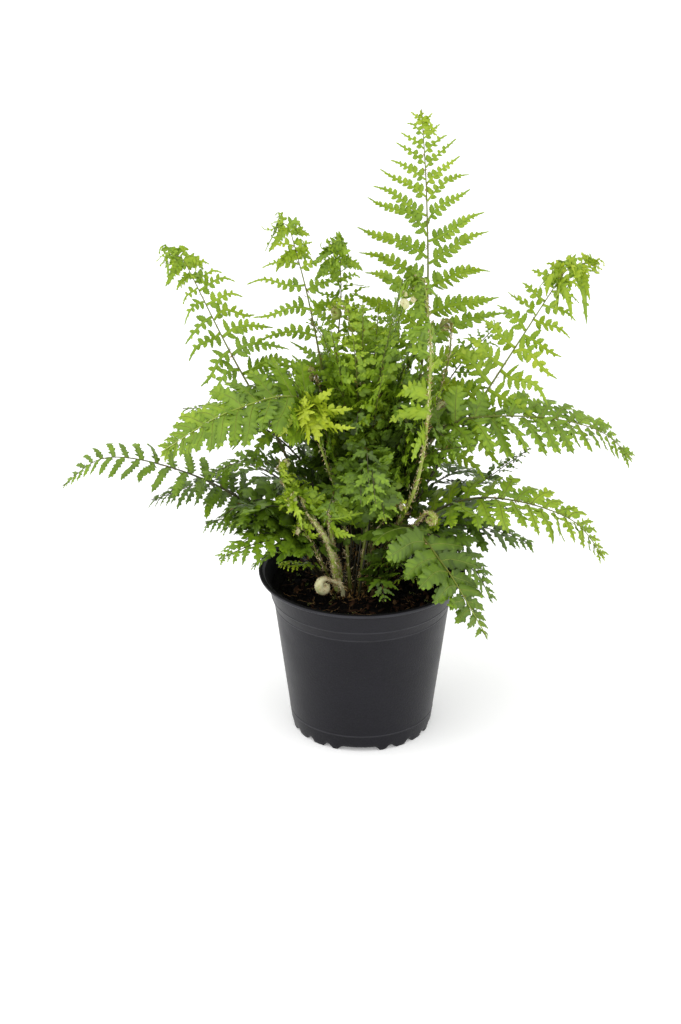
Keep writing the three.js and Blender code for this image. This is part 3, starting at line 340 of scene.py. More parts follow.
class Shape:
    """Points and triangles gathered bit by bit, with each point's colour tone and each face's material."""

    def __init__(self):
        self.points, self.faces, self.tones, self.ribs, self.materials = [], [], [], [], []
        self.count = 0

    def add(self, points, faces, tone, rib=0.0, material=0):
        points = np.asarray(points, float).reshape(-1, 3)
        faces = np.asarray(faces, int).reshape(-1, 3)
        self.points.append(points)
        self.faces.append(faces + self.count)
        self.tones.append(np.broadcast_to(tone, len(points)).astype(float))
        self.ribs.append(np.broadcast_to(rib, len(points)).astype(float))
        self.materials.append(np.full(len(faces), material))
        self.count += len(points)

    def add_copies(self, points, faces, tones, rib, material=0):
        """Many copies of one form: points is copies by points by 3, and tones has one value a copy."""
        copies, each = points.shape[:2]
        shifted = faces[None] + each * np.arange(copies)[:, None, None]
        self.add(points, shifted, np.repeat(tones, each), np.tile(rib, copies), material)


def make_piece(name, shape, materials, smooth_below=50.0):
    mesh = bpy.data.meshes.new(name)
    points = np.concatenate(shape.points) * 0.001
    faces = np.concatenate(shape.faces).astype(np.int32)
    mesh.vertices.add(len(points))
    mesh.vertices.foreach_set("co", points.astype(np.float32).ravel())
    mesh.loops.add(faces.size)
    mesh.loops.foreach_set("vertex_index", faces.ravel())
    mesh.polygons.add(len(faces))
    mesh.polygons.foreach_set("loop_start", np.arange(0, faces.size, 3, dtype=np.int32))
    mesh.polygons.foreach_set("material_index", np.concatenate(shape.materials).astype(np.int32))
    mesh.update(calc_edges=True)
    for key, values in (("tone", shape.tones), ("rib", shape.ribs)):
        mesh.attributes.new(key, "FLOAT", "POINT").data.foreach_set(
            "value", np.concatenate(values).astype(np.float32))
    mesh.shade_smooth()
    mesh.set_sharp_from_angle(angle=math.radians(smooth_below))
    for material in materials:
        mesh.materials.append(material)
    piece = bpy.data.objects.new(name, mesh)
    bpy.context.scene.collection.objects.link(piece)
    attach(piece, "root")
    return piece


def leaf_faces(outline, midrib):
    """The triangles of a thin closed leaf: its outline, then the midrib's upper and lower points."""
    count, mids = len(outline), len(midrib)
    nearest = [min(range(mids), key=lambda m: abs(midrib[m][0] - u)) for u, _ in outline]
    upper = []
    for i in range(count):
        j = (i + 1) % count
        upper.append((i, j, count + nearest[i]))
        if nearest[i] != nearest[j]:
            upper.append((j, count + nearest[j], count + nearest[i]))
    lower = [[v + mids if v >= count else v for v in (a, c, b)] for a, b, c in upper]
    return np.array(upper + lower)


class LeafForm:
    """A pinnule's form in its own axes, ready to be copied."""

    def __init__(self, outline, midrib):
        flat = np.array(outline + midrib + midrib)
        self.u, self.v = flat[:, 0], flat[:, 1]
        self.w = -0.22 * self.u**2 - 0.5 * self.v**2
        self.thick = np.zeros(len(flat))
        self.thick[len(outline):len(outline) + len(midrib)] = LEAF_HALF_THICKNESS
        self.thick[len(outline) + len(midrib):] = -LEAF_HALF_THICKNESS
        self.rib = np.zeros(len(flat))
        self.rib[len(outline):] = 1.0
        self.faces = leaf_faces(outline, midrib)
        self.turned = self.faces[:, [0, 2, 1]]

    def placed(self, foot, out, onward, normal, length, width):
        """Copies of the form: its foot, the directions of its length, width and upper face, and its sizes."""
        u, v, w, thick = (a[None, :, None] for a in (self.u, self.v, self.w, self.thick))
        length, width = length[:, None, None], width[:, None, None]
        flat = foot[:, None] + out[:, None] * (u * length) + onward[:, None] * (v * width)
        return flat + normal[:, None] * (w * width + thick)


FINE = LeafForm(FINE_OUTLINE, FINE_MIDRIB)
LIGHT = LeafForm(LIGHT_OUTLINE, LIGHT_MIDRIB)


# Stems


def curve_through(knots):
    """A centripetal Catmull-Rom curve through the knots, as the node's solid has it."""
    knots = [np.asarray(k, float) for k in knots]
    last = len(knots) - 1
    points = []
    for step in range(CURVE_STEPS * last + 1):
        i = min(step // CURVE_STEPS, last - 1)
        w = step / CURVE_STEPS - i
        p1, p2 = knots[i], knots[i + 1]
        p0 = knots[i - 1] if i > 0 else 2 * knots[0] - knots[1]
        p3 = knots[i + 2] if i + 2 <= last else 2 * knots[last] - knots[last - 1]
        d0, d1, d2 = (math.sqrt(np.linalg.norm(b - a)) for a, b in ((p0, p1), (p1, p2), (p2, p3)))
        t1 = ((p1 - p0) / d0 - (p2 - p0) / (d0 + d1) + (p2 - p1) / d1) * d1
        t2 = ((p2 - p1) / d1 - (p3 - p1) / (d1 + d2) + (p3 - p2) / d2) * d1
        c2 = -3 * p1 + 3 * p2 - 2 * t1 - t2
        c3 = 2 * p1 - 2 * p2 + t1 + t2
        points.append(p1 + t1 * w + c2 * w * w + c3 * w**3)
    return points


def curl_line(line, out, radius, turns):
    """The closing curl at a tip, turned from the rib's last direction in its upright plane."""
    end = line[-1].copy()
    forward = unit(end - line[-2])
    bend = unit(np.cross(forward, np.cross(UP, out))) * -np.sign(turns)
    total = 2 * math.pi * abs(turns)
    points = []
    for step in range(1, CURL_STEPS + COIL_STEPS + 1):
        if step <= CURL_STEPS:
            angle = total * (step - 0.5) / CURL_STEPS
            length = radius * (1 - CURL_CLOSING * step / CURL_STEPS) * total / CURL_STEPS
        else:
            angle += COIL_STEP
            tightened = 1 - COIL_TIGHTENING * (step - CURL_STEPS) / COIL_STEPS
            length = radius * (1 - CURL_CLOSING) * tightened * COIL_STEP
        end = end + (forward * math.cos(angle) + bend * math.sin(angle)) * length
        points.append(end)
    return points


class Rib:
    """A stem's line, with the point and the three directions at any distance along it."""

    def __init__(self, stem):
        out, aside = on_circle(1, stem["towards"]), on_circle(1, stem["towards"] + 90)
        root = on_circle(stem["foot"][1], stem["foot"][0], ROOT_HEIGHT) + [*CROWN_AT, 0.0]
        knots = [root]
        for reach, height, *sideways in stem["through"]:
            knots.append(out * reach + UP * height + aside * (sideways[0] if sideways else 0.0))
        line = curve_through(knots)
        self.coil = None
        if "curl" in stem:
            curl = curl_line(line, out, *stem["curl"])
            line, self.coil = line + curl[:CURL_STEPS], np.array(curl[CURL_STEPS - 1:])
        self.line = np.array(line)
        self.aside, self.roll = aside, math.radians(stem["roll"])
        self.lengths = np.r_[0, np.cumsum(np.linalg.norm(np.diff(self.line, axis=0), axis=1))]
        self.total = self.lengths[-1]

    def point(self, distance):
        return np.stack([np.interp(distance, self.lengths, self.line[:, i]) for i in range(3)], -1)

    def at(self, distance):
        """The point, the rib's direction, and the side and upper directions of the frond there."""
        distance = np.asarray(distance, float)
        along = unit(self.point(distance + 1) - self.point(distance - 1))
        level = unit(self.aside - along * (along @ self.aside)[..., None])
        upper = np.cross(along, level)
        cos, sin = math.cos(self.roll), math.sin(self.roll)
        return self.point(distance), along, level * cos + upper * sin, upper * cos - level * sin


def half_width(stem, share):
    """Half the thickness of the node's stem at a share of its length."""
    return np.maximum(THINNEST_STEM, stem["thick"] * (1 - STEM_TAPER * share))


def ring_distances(stem, total):
    """Where the rings lie between which the node's stem bears its pairs of leaflets."""
    bare_end = stem["bare"] * total
    pairs = stem["pairs"]
    return np.array([bare_end + (total * LAST_PAIR_AT - bare_end) * i / pairs for i in range(pairs + 1)])


# Pinnae


def length_share(share, taper):
    return min(1, 0.72 + 1.3 * share) * (0.1 + 0.9 * (1 - share**taper))


def on_side(value, sign):
    """A stem's value for one side: the first of two for the side of its sideways direction."""
    return value[0 if sign > 0 else 1] if isinstance(value, tuple) else value


class Lay:
    """How one leaflet lies: where it starts, its directions and its sizes."""

    def __init__(self, stem, foot, along, side, up, spacing, share, sign, draws, bend, lengthened=True):
        degrees = stem["sweep"] - SWEEP_LOST_TO_TIP * share + SWEEP_CHANCE * (draws[0] - 0.5)
        if lengthened:
            degrees += on_side(stem["swung"], sign) - stem["upswept"] * share**2
        sweep = math.radians(degrees)
        lift = math.radians(LIFT + LIFT_CHANCE * (draws[1] - 0.5) + bend[0])
        outward = side * sign * math.cos(lift) + up * math.sin(lift)
        self.foot = foot
        share_of_length = length_share(share, stem["taper"])
        if lengthened:
            share_of_length = max(share_of_length, stem["tipped"])
            share_of_length *= on_side(stem["stretch"], sign)
        self.length = stem["leaflet"] * share_of_length
        self.length *= (LEAST_LENGTH + LENGTH_CHANCE * draws[2]) * bend[1]
        self.reach = along * math.cos(sweep) + outward * math.sin(sweep)
        self.across = unit(along - self.reach * (along @ self.reach))
        self.facing = np.cross(self.across, self.reach) * sign
        self.droop = DROOP + DROOP_CHANCE * draws[3] + DROOP_WHERE_LEVEL * (1 - abs(along[2]))
        if lengthened:
            self.droop += on_side(stem["hanging"], sign)
        self.spacing = spacing * math.sin(sweep)
        self.node_width = min(WIDTH_OF_SPACING * self.spacing, stem["slim"] * self.length)

    def tip(self):
        """The middle of the node's leaflet at its tip."""
        point = self.foot + self.reach * self.length + self.across * TIP_FORWARD * self.node_width
        return point - UP * self.droop * self.length


def node_points(name):
    """The corners of a node's solid, in millimetres."""
    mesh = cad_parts[name].data
    points = np.zeros(len(mesh.vertices) * 3, np.float32)
    mesh.vertices.foreach_get("co", points)
    return points.reshape(-1, 3).astype(float) * 1000


def leaflets_of(stem, rib, seed):
    """The draws and the bend of each leaflet of the node, pair by pair, read off where its tip is."""
    points, _, side, up = rib.at(ring_distances(stem, rib.total))
    solid = node_points(stem["name"])
    draw = draws_from(seed)
    pairs = []
    for i in range(stem["pairs"]):
        pair = {}
        for sign in (1, -1):
            draws = [next(draw) for _ in range(4)]
            share = (i + 0.5) / stem["pairs"]
            span = points[i + 1] - points[i]
            middle, spacing = points[i] + span / 2, np.linalg.norm(span)
            found = None
            for bend in BENDS:
                lay = Lay(stem, middle, span / spacing, side[i], up[i], spacing, share, sign, draws, bend,
                          lengthened=False)
                wanted = lay.tip() + lay.facing * BLADE_THICKNESS / 2
                if np.min(np.linalg.norm(solid - wanted, axis=1)) < BEND_FOUND_WITHIN:
                    found = bend
                    break
            pair[sign] = (draws, found)
        pairs.append(pair)
    return pairs


def sides_of(line, aside):
    """Tangents of a line, with two directions square to them."""
    tangent = unit(np.gradient(line, axis=0))
    first = unit(aside - tangent * (tangent @ aside)[:, None])
    return tangent, first, np.cross(tangent, first)


def add_tube(shape, line, radii, aside, sides, tone, material, groove=0.0):
    """A closed tapering tube along a line, with a groove down the side that faces up where wished."""
    line, radii = np.asarray(line, float), np.asarray(radii, float)
    _, first, second = sides_of(line, aside)
    angles = 2 * math.pi * np.arange(sides) / sides
    dent = 1 - groove * np.exp(-((angles - math.pi / 2) / 0.5) ** 2)
    ring = first[:, None] * (np.cos(angles) * dent)[None, :, None]
    ring = ring + second[:, None] * (np.sin(angles) * dent)[None, :, None]
    points = line[:, None] + ring * radii[:, None, None]
    rows = len(line)
    low = np.arange(rows - 1)[:, None] * sides + np.arange(sides)[None]
    low_next = np.arange(rows - 1)[:, None] * sides + (np.arange(sides)[None] + 1) % sides
    walls = np.stack([np.stack([low, low_next, low_next + sides], -1),
                      np.stack([low, low_next + sides, low + sides], -1)]).reshape(-1, 3)
    start, end = rows * sides, rows * sides + 1
    here, after = ring_numbers(sides)
    caps = np.concatenate([np.stack([np.full(sides, start), after, here], -1),
                           np.stack([np.full(sides, end), here + (rows - 1) * sides,
                                     after + (rows - 1) * sides], -1)])
    ends = np.stack([line[0], line[-1]])
    tones = np.broadcast_to(tone, rows)
    all_tones = np.concatenate([np.repeat(tones, sides), [tones[0], tones[-1]]])
    shape.add(np.concatenate([points.reshape(-1, 3), ends]), np.concatenate([walls, caps]), all_tones,
              0.0, material)


# How far scales stand off, as the tangent of their angle
SPLAY, FURRY_SPLAY, COIL_SPLAY, CROZIER_SPLAY = (0.35, 1.3), (0.15, 0.8), (0.05, 0.5), (0.05, 0.6)


def add_scales(shape, place, radius, rng, length, width, tone, material, splay=SPLAY):
    """Slim pointed scales on a stem, one for each place: its point, direction, side and upper directions."""
    point, along, side, up = place
    count = len(point)
    angle = rng.uniform(0, 2 * math.pi, count)[:, None]
    normal = side * np.cos(angle) + up * np.sin(angle)
    lean = rng.uniform(*splay, count)[:, None]
    turn = np.cross(along, normal) * rng.uniform(-0.7, 0.7, count)[:, None]
    direction = unit(along * rng.choice([1, 1, 1, -1], count)[:, None] + normal * lean + turn)
    wide = unit(np.cross(direction, normal))
    normal = np.cross(wide, direction)
    base = point + (side * np.cos(angle) + up * np.sin(angle)) * (radius[:, None] * 0.85)
    long = (length * rng.uniform(0.5, 1.15, count))[:, None]
    broad = (width * rng.uniform(0.6, 1.2, count))[:, None]
    middle = base + direction * long * 0.5 + normal * long * 0.12
    tip = base + direction * long - normal * long * rng.uniform(-0.25, 0.3, count)[:, None]
    under = base - normal * 0.25
    corners = np.stack([base + wide * broad * 0.3, base - wide * broad * 0.3, under,
                        middle + wide * broad * 0.5, middle - wide * broad * 0.5,
                        middle - normal * 0.12, tip], 1)
    faces = np.array([(0, 3, 4), (0, 4, 1), (1, 4, 5), (1, 5, 2), (2, 5, 3), (2, 3, 0),
                      (3, 6, 4), (4, 6, 5), (5, 6, 3), (0, 1, 2)])
    shape.add_copies(corners, faces, np.clip(tone + rng.normal(0, 0.2, count), 0, 1),
                     np.array([0, 0, 0, 0.5, 0.5, 0.5, 1.0]), material)


class Leafage:
    """The pinnules gathered for one piece, kept apart by which way round they lie."""

    def __init__(self, form):
        self.form = form
        self.kept = {1: [], -1: []}

    def into(self, shape):
        for hand, kept in self.kept.items():
            if kept:
                foot, out, onward, normal, length, width, tone = (np.concatenate(k) for k in zip(*kept))
                faces = self.form.faces if hand > 0 else self.form.turned
                copies = self.form.placed(foot, out, onward, normal, length, width)
                shape.add_copies(copies, faces, tone, self.form.rib, LEAF)


def profile(share, blunt):
    """A pinna's width at a share of its length: drawn out to a point where blunt is small."""
    return np.maximum(0.0, 1 - share**blunt) ** 0.85


def turned_by(angle, first, second):
    """Two directions, each turned by an angle, the first towards the second."""
    cos, sin = np.cos(angle)[:, None], np.sin(angle)[:, None]
    return first * cos + second * sin, second * cos - first * sin


def with_curl(chance, curly):
    """The standard deviation for a pinna that is more or less curly."""
    return chance[0] + chance[1] * curly


class Pinna:
    """A pinna's own rib, with its directions at any share of its length."""

    def __init__(self, lay, rolled, curly, rng, louvre=0.0):
        shares = np.linspace(0, 1, PINNA_POINTS)
        turn = (rolled * shares**1.4)[:, None]
        inward = unit(lay.facing)
        heading = lay.reach * np.cos(turn) + inward * np.sin(turn)
        steps = (heading[1:] + heading[:-1]) / 2 * lay.length / (PINNA_POINTS - 1)
        line = lay.foot + np.concatenate([np.zeros((1, 3)), np.cumsum(steps, axis=0)])
        sway = rng.normal(0, with_curl(SWAY, curly))
        forward = 0.05 * shares**2 + sway * np.sin(2 * math.pi * shares)
        line = line + lay.across * (forward * lay.length)[:, None]
        arch = rng.normal(0.05, with_curl(ARCH, curly)) * 4 * shares * (1 - shares)
        sag = lay.droop * (1 + 0.8 * curly) * shares**2
        line = line + UP * ((arch - sag) * lay.length)[:, None]
        self.lay, self.shares, self.line = lay, shares, line
        self.tangent = unit(np.gradient(line, axis=0))
        across = unit(lay.across - self.tangent * (self.tangent @ lay.across)[:, None])
        twist = louvre + rng.normal(0, with_curl(TWIST, curly))
        twist = twist + rng.normal(0, with_curl(TWIST_TO_TIP, curly)) * shares
        turned = np.cross(self.tangent, across)
        self.across = turned_by(twist, across, turned)[0]
        self.facing = np.cross(self.across, self.tangent)
        self.facing *= np.sign(self.facing[0] @ lay.facing)

    def at(self, share):
        mix = [np.stack([np.interp(share, self.shares, a[:, i]) for i in range(3)], -1)
               for a in (self.line, self.tangent, self.across)]
        return mix[0], unit(mix[1]), unit(mix[2])

    def add_blade(self, shape, half, tone):
        """The part that joins the pinnules: two wings with a raised rib between them."""
        normal = self.facing
        sink = normal * (0.12 * half)[:, None]
        rows = [self.line + self.across * half[:, None] - sink, self.line + normal * 0.2,
                self.line - self.across * half[:, None] - sink, self.line - normal * 0.3]
        points = np.stack(rows, 1)
        count = len(points)
        low = (np.arange(count - 1) * 4)[:, None] + np.arange(4)[None]
        after = (np.arange(count - 1) * 4)[:, None] + (np.arange(4)[None] + 1) % 4
        faces = np.stack([np.stack([low, low + 4, after + 4], -1), np.stack([low, after + 4, after], -1)])
        end = (count - 1) * 4
        caps = np.array([(0, 1, 2), (0, 2, 3), (end, end + 2, end + 1), (end, end + 3, end + 2)])
        faces = np.concatenate([faces.reshape(-1, 3), caps])
        if np.dot(np.cross(self.across[0], self.tangent[0]), normal[0]) < 0:
            faces = faces[:, [0, 2, 1]]
        shape.add(points, faces, tone + 0.02, np.tile([0.0, 1.0, 0.0, 1.0], count), LEAF)

    def add_to(self, shape, leaves, stem, half, tone, rng, cupped=0.0):
        """Adds its rib and the pinnules on both its sides."""
        lay, blunt, fused = self.lay, stem["blunt"], stem["fused"]
        joined = half * profile(self.shares, blunt) * (fused + (0.85 - fused) * self.shares**4)
        self.add_blade(shape, np.maximum(joined, 0.12), tone)
        if "light_rib" in stem:
            radii = np.linspace(*MIDRIB_RADII, PINNA_POINTS)
            add_tube(shape, self.line + self.facing * MIDRIB_RISE, radii, lay.across, 4,
                     MIDRIB_TONE + 0.16 * stem["light_rib"], STALK)
        count = int(np.clip(round(lay.length / stem["pinnule"]), FEWEST_PINNULES, MOST_PINNULES))
        gap = lay.length * PINNULES_OVER / count
        for side in (1, -1):
            share = PINNULES_FROM + PINNULES_OVER * (np.arange(count) + 0.45 + STAGGER * side) / count
            foot, tangent, across = self.at(share)
            lean = np.clip(LEAN + LEAN_ADDED_TO_TIP * share + rng.normal(0, LEAN_CHANCE, count), *LEAN_LIMITS)
            out = unit(turned_by(np.radians(lean), across * side, tangent)[0])
            onward = unit(tangent - out * np.sum(tangent * out, 1)[:, None])
            hand = 1 if np.dot(np.cross(out[0], onward[0]), self.facing[0]) > 0 else -1
            normal = np.cross(out, onward) * hand
            tilt = np.radians(rng.normal(0, TILT_CHANCE, count) + cupped * CUPPED * hand)
            raised = np.radians(rng.normal(*RAISED, count) + cupped * CUPPED)
            out, normal = turned_by(raised, out, normal)
            onward, normal = turned_by(tilt, onward, normal)
            length = half * np.maximum(SHORTEST_PINNULE, profile(share, blunt))
            length = length * rng.uniform(*PINNULE_LENGTHS, count)
            if side > 0:
                length[0] *= FIRST_PINNULE_LONGER
            width = np.minimum(gap * OVERLAP, length) * rng.uniform(*PINNULE_WIDTHS, count) * stem["apart"]
            tones = tone + rng.normal(0, 0.035, count) - 0.07 + 0.24 * share
            leaves.kept[hand].append((foot, out, onward, normal, length, width, tones))
        foot, tangent, across = self.at(np.array([END_PINNULE_AT]))
        hand = 1 if np.dot(np.cross(tangent[0], across[0]), self.facing[0]) > 0 else -1
        leaves.kept[hand].append((foot, tangent, across, np.cross(tangent, across) * hand,
                                  np.array([max(1.6, lay.length * 0.1)]), np.array([1.1]),
                                  np.array([tone + 0.12])))


SCALES_PER_MM, FURRY_SCALES_PER_MM = 1.15, 3.4
SCALE_WIDTH, LOW_SCALE_LENGTH, SCALE_LENGTH = 0.62, 4.2, 3.1
OLD_SHORTER, FURRY_SHORTER = 0.8, 0.62
OLD_SCALE_TONE, YOUNG_SCALE_TONE, FURRY_SCALE_TONE = 0.4, 0.85, 0.92


def stalk_scales(shape, stem, rib, rng):
    """Scales thickly over a young stem, and mostly near the foot of an old one."""
    furry, young = "plump" in stem, stem["scaly"] > 1
    count = int(stem["scaly"] * rib.total * (FURRY_SCALES_PER_MM if furry else SCALES_PER_MM))
    share = rng.uniform(0, 1, count)
    if not young:
        share = share**1.7 * 0.9
    distance = HOLE_LENGTH * 0.6 + share * (rib.total - HOLE_LENGTH * 0.6)
    point, along, side, up = rib.at(distance)
    radius = half_width(stem, distance / rib.total) * stem.get("plump", 1.0)
    length = np.where(share < 0.25, LOW_SCALE_LENGTH, SCALE_LENGTH) * (1.0 if young else OLD_SHORTER)
    length = length * (FURRY_SHORTER if furry else 1.0)
    tone = FURRY_SCALE_TONE if furry else YOUNG_SCALE_TONE if young else OLD_SCALE_TONE
    add_scales(shape, (point, along, side, up), radius, rng, length, SCALE_WIDTH, tone, SCALE,
               FURRY_SPLAY if furry else SPLAY)


def make_leafy(stem, seed, young):
    """A stem of the node's form, with pinnae divided into pinnules."""
    rib, rng = Rib(stem), np.random.default_rng(seed)
    shape = Shape()
    add_frond(shape, stem, rib, leaflets_of(stem, rib, seed), rng, young)
    piece = make_piece("leafy_" + stem["name"], shape, PLANT_PAINTS)
    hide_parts(stem["name"])


RING_SPACING = 4
STEM_SIDES, STEM_GROOVE = 8, 0.3
OLD_STEM_PALES_OVER, YOUNG_STEM_PALES_OVER = 150, 80
FURRY_STEM_TONE = 0.82
LIGHT_RIB_RISE = 0.7
COIL_THICKNESS = 0.26


def stem_tone(stem, distances, young):
    """Dark brown at the crown, partly the stem's own colour and partly painted shade, and paler or greener
    upwards.
    """
    if not young:
        return np.clip(distances / OLD_STEM_PALES_OVER, 0, 1) ** 1.4 * (0.1 + 0.62 * stem["tone"])
    if "plump" in stem:
        return FURRY_STEM_TONE
    return 0.3 + 0.46 * np.clip(distances / YOUNG_STEM_PALES_OVER, 0, 1)


def add_frond(shape, stem, rib, pairs, rng, young):
    """Its stem with scales, the coil of a young one, and its pinnae."""
    distances = np.linspace(0, rib.total, max(8, int(rib.total / RING_SPACING)))
    leafy_share = np.clip((distances / rib.total - stem["bare"]) / (1 - stem["bare"]), 0, 1)
    radii = np.maximum(0.3, half_width(stem, distances / rib.total) * (0.85 - 0.4 * leafy_share))
    radii = radii * stem.get("plump", 1.0)
    tone = stem_tone(stem, distances, young) + leafy_share**0.5 * stem.get("light_rib", 0.0)
    line, _, _, upper = rib.at(distances)
    raised = (leafy_share > 0) * (LIGHT_RIB_RISE if "light_rib" in stem else 0.0)
    add_tube(shape, line + upper * raised[:, None], radii, rib.aside, STEM_SIDES, tone, STALK, STEM_GROOVE)
    stalk_scales(shape, stem, rib, rng)
    if young:
        wool, radius = stem["wool"], stem["curl"][0] * COIL_THICKNESS
        add_coil(shape, rib.coil, rib.aside, radius, rng, wool)
        middle = rib.coil.mean(0)
        for *shift, size in stem["buds"]:
            bud = middle + shift + (rib.coil - middle) * size
            add_coil(shape, bud, rib.aside, radius * size, rng, wool)
    add_pinnae(shape, stem, rib, pairs, rng, young)


# Pairs of pinnae stand closer towards the tip, and the two of a pair are a little apart. A leaflet of the CAD
# whose bend isn't found counts as straight and short.
CLOSER_TO_TIP, PAIR_OFFSET = 0.12, 0.12
BEND_NOT_FOUND = (0, 0.4)
BEND_CHANCE, YOUNG_BEND_CHANCE = 4, 22
HALF_OF_SPACING, YOUNG_FULLER = 0.62, 1.4
WIDEST_HALF, YOUNG_WIDEST_HALF = 0.29, 0.36


def add_pinnae(shape, stem, rib, pairs, rng, young):
    """The pairs of pinnae, each bent like the CAD's leaflet at its place, then the tip and the added ones."""
    plain = stem["name"] in PLAIN_LEAVED or stem["name"].startswith("inner")
    leaves = Leafage(LIGHT if plain else FINE)
    start = stem["bare"] * rib.total
    leafy = rib.total * LAST_PAIR_AT - start
    count = round(leafy / stem["spacing"])
    spacing = leafy / count
    for j in range(count):
        for sign in (1, -1):
            even = (j + 0.5 + PAIR_OFFSET * sign) / count
            share = even + CLOSER_TO_TIP * math.sin(math.pi * even)
            gap = spacing * (1 + CLOSER_TO_TIP * math.pi * math.cos(math.pi * even))
            distance = start + leafy * share
            point, along, side, up = rib.at(distance)
            if pairs:
                draws, bend = pairs[min(int(share * stem["pairs"]), stem["pairs"] - 1)][sign]
            else:
                draws, bend = rng.uniform(0, 1, 4), (0, 1)
            degrees, shortened = BEND_NOT_FOUND if bend is None else bend
            degrees += rng.normal(0, YOUNG_BEND_CHANCE if young else BEND_CHANCE)
            bend = (degrees, shortened * (stem["grown"] if young else 1))
            lay = Lay(stem, point, along, side, up, gap, share, sign, draws, bend)
            lay.foot = point + lay.reach * half_width(stem, distance / rib.total) * 0.6
            half = HALF_OF_SPACING * stem["fill"] * lay.spacing * (YOUNG_FULLER if young else 1)
            half = min(half, (YOUNG_WIDEST_HALF if young else WIDEST_HALF) * lay.length)
            rolled = rolled_at(stem, share, young)
            pinna = Pinna(lay, rolled, stem["curly"], rng, sign * stem["louvre"])
            tone = stem["tone"] + 0.12 * share**2 + rng.normal(0, 0.03)
            pinna.add_to(shape, leaves, stem, half, tone, rng, cupped=min(1.0, rolled / 3))
    add_tip(shape, leaves, stem, rib, rng)
    for share, sign, length in stem["lower"]:
        point, along, side, up = rib.at(rib.total * share)
        lay = Lay(stem, point, along, side, up, 8.0, 0.2, sign, rng.uniform(0, 1, 4), (rng.normal(20, 25), 1))
        lay.length, lay.droop = length, 0.5
        broad = {**stem, **LOWER_FORM}
        Pinna(lay, 0.2, 0.3, rng).add_to(shape, leaves, broad, 0.34 * length, stem["tone"] + 0.16, rng, 0.2)
    leaves.into(shape)


TIP_PINNA_AT, TIP_PINNA_LENGTH, TIP_PINNA_HALF = 0.96, 0.04, 0.28
HEAD_BETWEEN = (0.86, 0.99)
SPREAD_LENGTHS, ROLLED_LENGTHS = (0.8, 1.15), (0.5, 0.75)
SPREAD_DROOPS, ROLLED_DROOPS = (0.3, 0.55), (0.1, 0.3)
SPREAD_ROLLS, TIGHT_ROLLS = (0.2, 0.9), (1.4, 2.6)


def add_tip(shape, leaves, stem, rib, rng):
    """The last pinna, that goes on from the rib, and an opening frond's head of small rolled ones."""
    point, along, side, up = rib.at(rib.total * TIP_PINNA_AT)
    lay = Lay(stem, point, along, side, up, 8.0, 0.9, 1, [0.5] * 4, (0, 1))
    lay.length = TIP_PINNA_LENGTH * rib.total
    lay.reach, lay.across = along, side
    lay.facing = np.cross(side, along)
    half = TIP_PINNA_HALF * lay.length
    Pinna(lay, 0.0, 0.2, rng).add_to(shape, leaves, stem, half, stem["tone"] + 0.15, rng)
    broad = {**stem, **HEAD_FORM}
    for k in range(stem["head"]):
        point, along, side, up = rib.at(rib.total * rng.uniform(*HEAD_BETWEEN))
        sign = 1 if k % 2 else -1
        draws, bend = rng.uniform(0, 1, 4), (rng.normal(0, 25), 1.0)
        lay = Lay(broad, point, along, side, up, 7.0, 0.3, sign, draws, bend)
        spread = k % 4 < 2 or "head_half" in stem
        lay.length = stem["head_length"] * rng.uniform(*(SPREAD_LENGTHS if spread else ROLLED_LENGTHS))
        lay.droop = rng.uniform(*(SPREAD_DROOPS if spread else ROLLED_DROOPS)) * stem["head_droop"]
        pinna = Pinna(lay, rng.uniform(*(SPREAD_ROLLS if spread else TIGHT_ROLLS)), 0.4, rng)
        half = stem.get("head_half", 0.3) * lay.length
        pinna.add_to(shape, leaves, broad, half, stem["tone"] + rng.normal(0.05, 0.06), rng, 0.5)


def inner_stems():
    """The many small fronds that fill the middle of the plant, darker than those that hang out of it, partly
    as painted shade.
    """
    rng = np.random.default_rng(INNER_SEED)
    stems = []
    for towards, reach, height, tone in LOW_LEFT_FRONDS:
        through = [(reach * 0.45, 132, 3), (reach * 0.8, height), (reach, height - 7)]
        stems.append(frond(f"inner_low_{len(stems)}", towards, (towards, 18), through, 0.3, 1, 23,
                           rng.uniform(-20, 20), 1.0, tone, 10.0, 1.2, 0.1, curly=0.35, pinnule=4.8,
                           blunt=3.0, fused=0.4))
    for towards, through, leaflet, tone in LOW_FRONT_FRONDS:
        stems.append(frond(f"inner_low_{len(stems)}", towards, (towards, 18), through, 0.25, 1, leaflet, 0,
                           0.8, tone, 7.0, 1.2, 0.1, curly=0.35, pinnule=3.6, blunt=2.6, fused=0.45))
    for towards, through, leaflet, tone in MIDDLE_FRONDS:
        stems.append(frond(f"inner_middle_{len(stems)}", towards, (towards, 8), through, 0.45, 1, leaflet,
                           rng.uniform(-25, 25), 1.1, tone, 9.4, 1.05, 0.3, curly=0.45, pinnule=4.4,
                           blunt=2.0, hanging=0.15))
    for k in range(CHANCE_FRONDS):
        towards = (k * GOLDEN_ANGLE + rng.uniform(-12, 12)) % 360
        in_front = 195 < towards < 345
        height = rng.uniform(178, 240) if in_front else rng.uniform(132, 236)
        reach = rng.uniform(24, 46) if in_front else rng.uniform(34, 74) * (1.25 - 0.5 * (height - 130) / 106)
        if 188 < towards < 266 and height > 180:
            reach *= 0.5
        foot = (towards, rng.uniform(6, 20))
        through = [(reach * 0.42, height * 0.62 + 32, rng.uniform(-4, 4)), (reach * 0.85, height),
                   (reach * 1.3, height - rng.uniform(2, 22))]
        # The chance tone from 0.1 to 0.46 keeps these fronds dark, partly as painted shade in the plant's
        # middle.
        stems.append(frond(f"inner_{k}", towards, foot, through, rng.uniform(0.28, 0.42), 1,
                           rng.uniform(22, 33), rng.uniform(-25, 25), 1.0, rng.uniform(0.1, 0.46),
                           rng.uniform(9.4, 11.2), 1.2, 0.1, curly=0.3, pinnule=4.9, blunt=2.4, fused=0.4))
    return stems


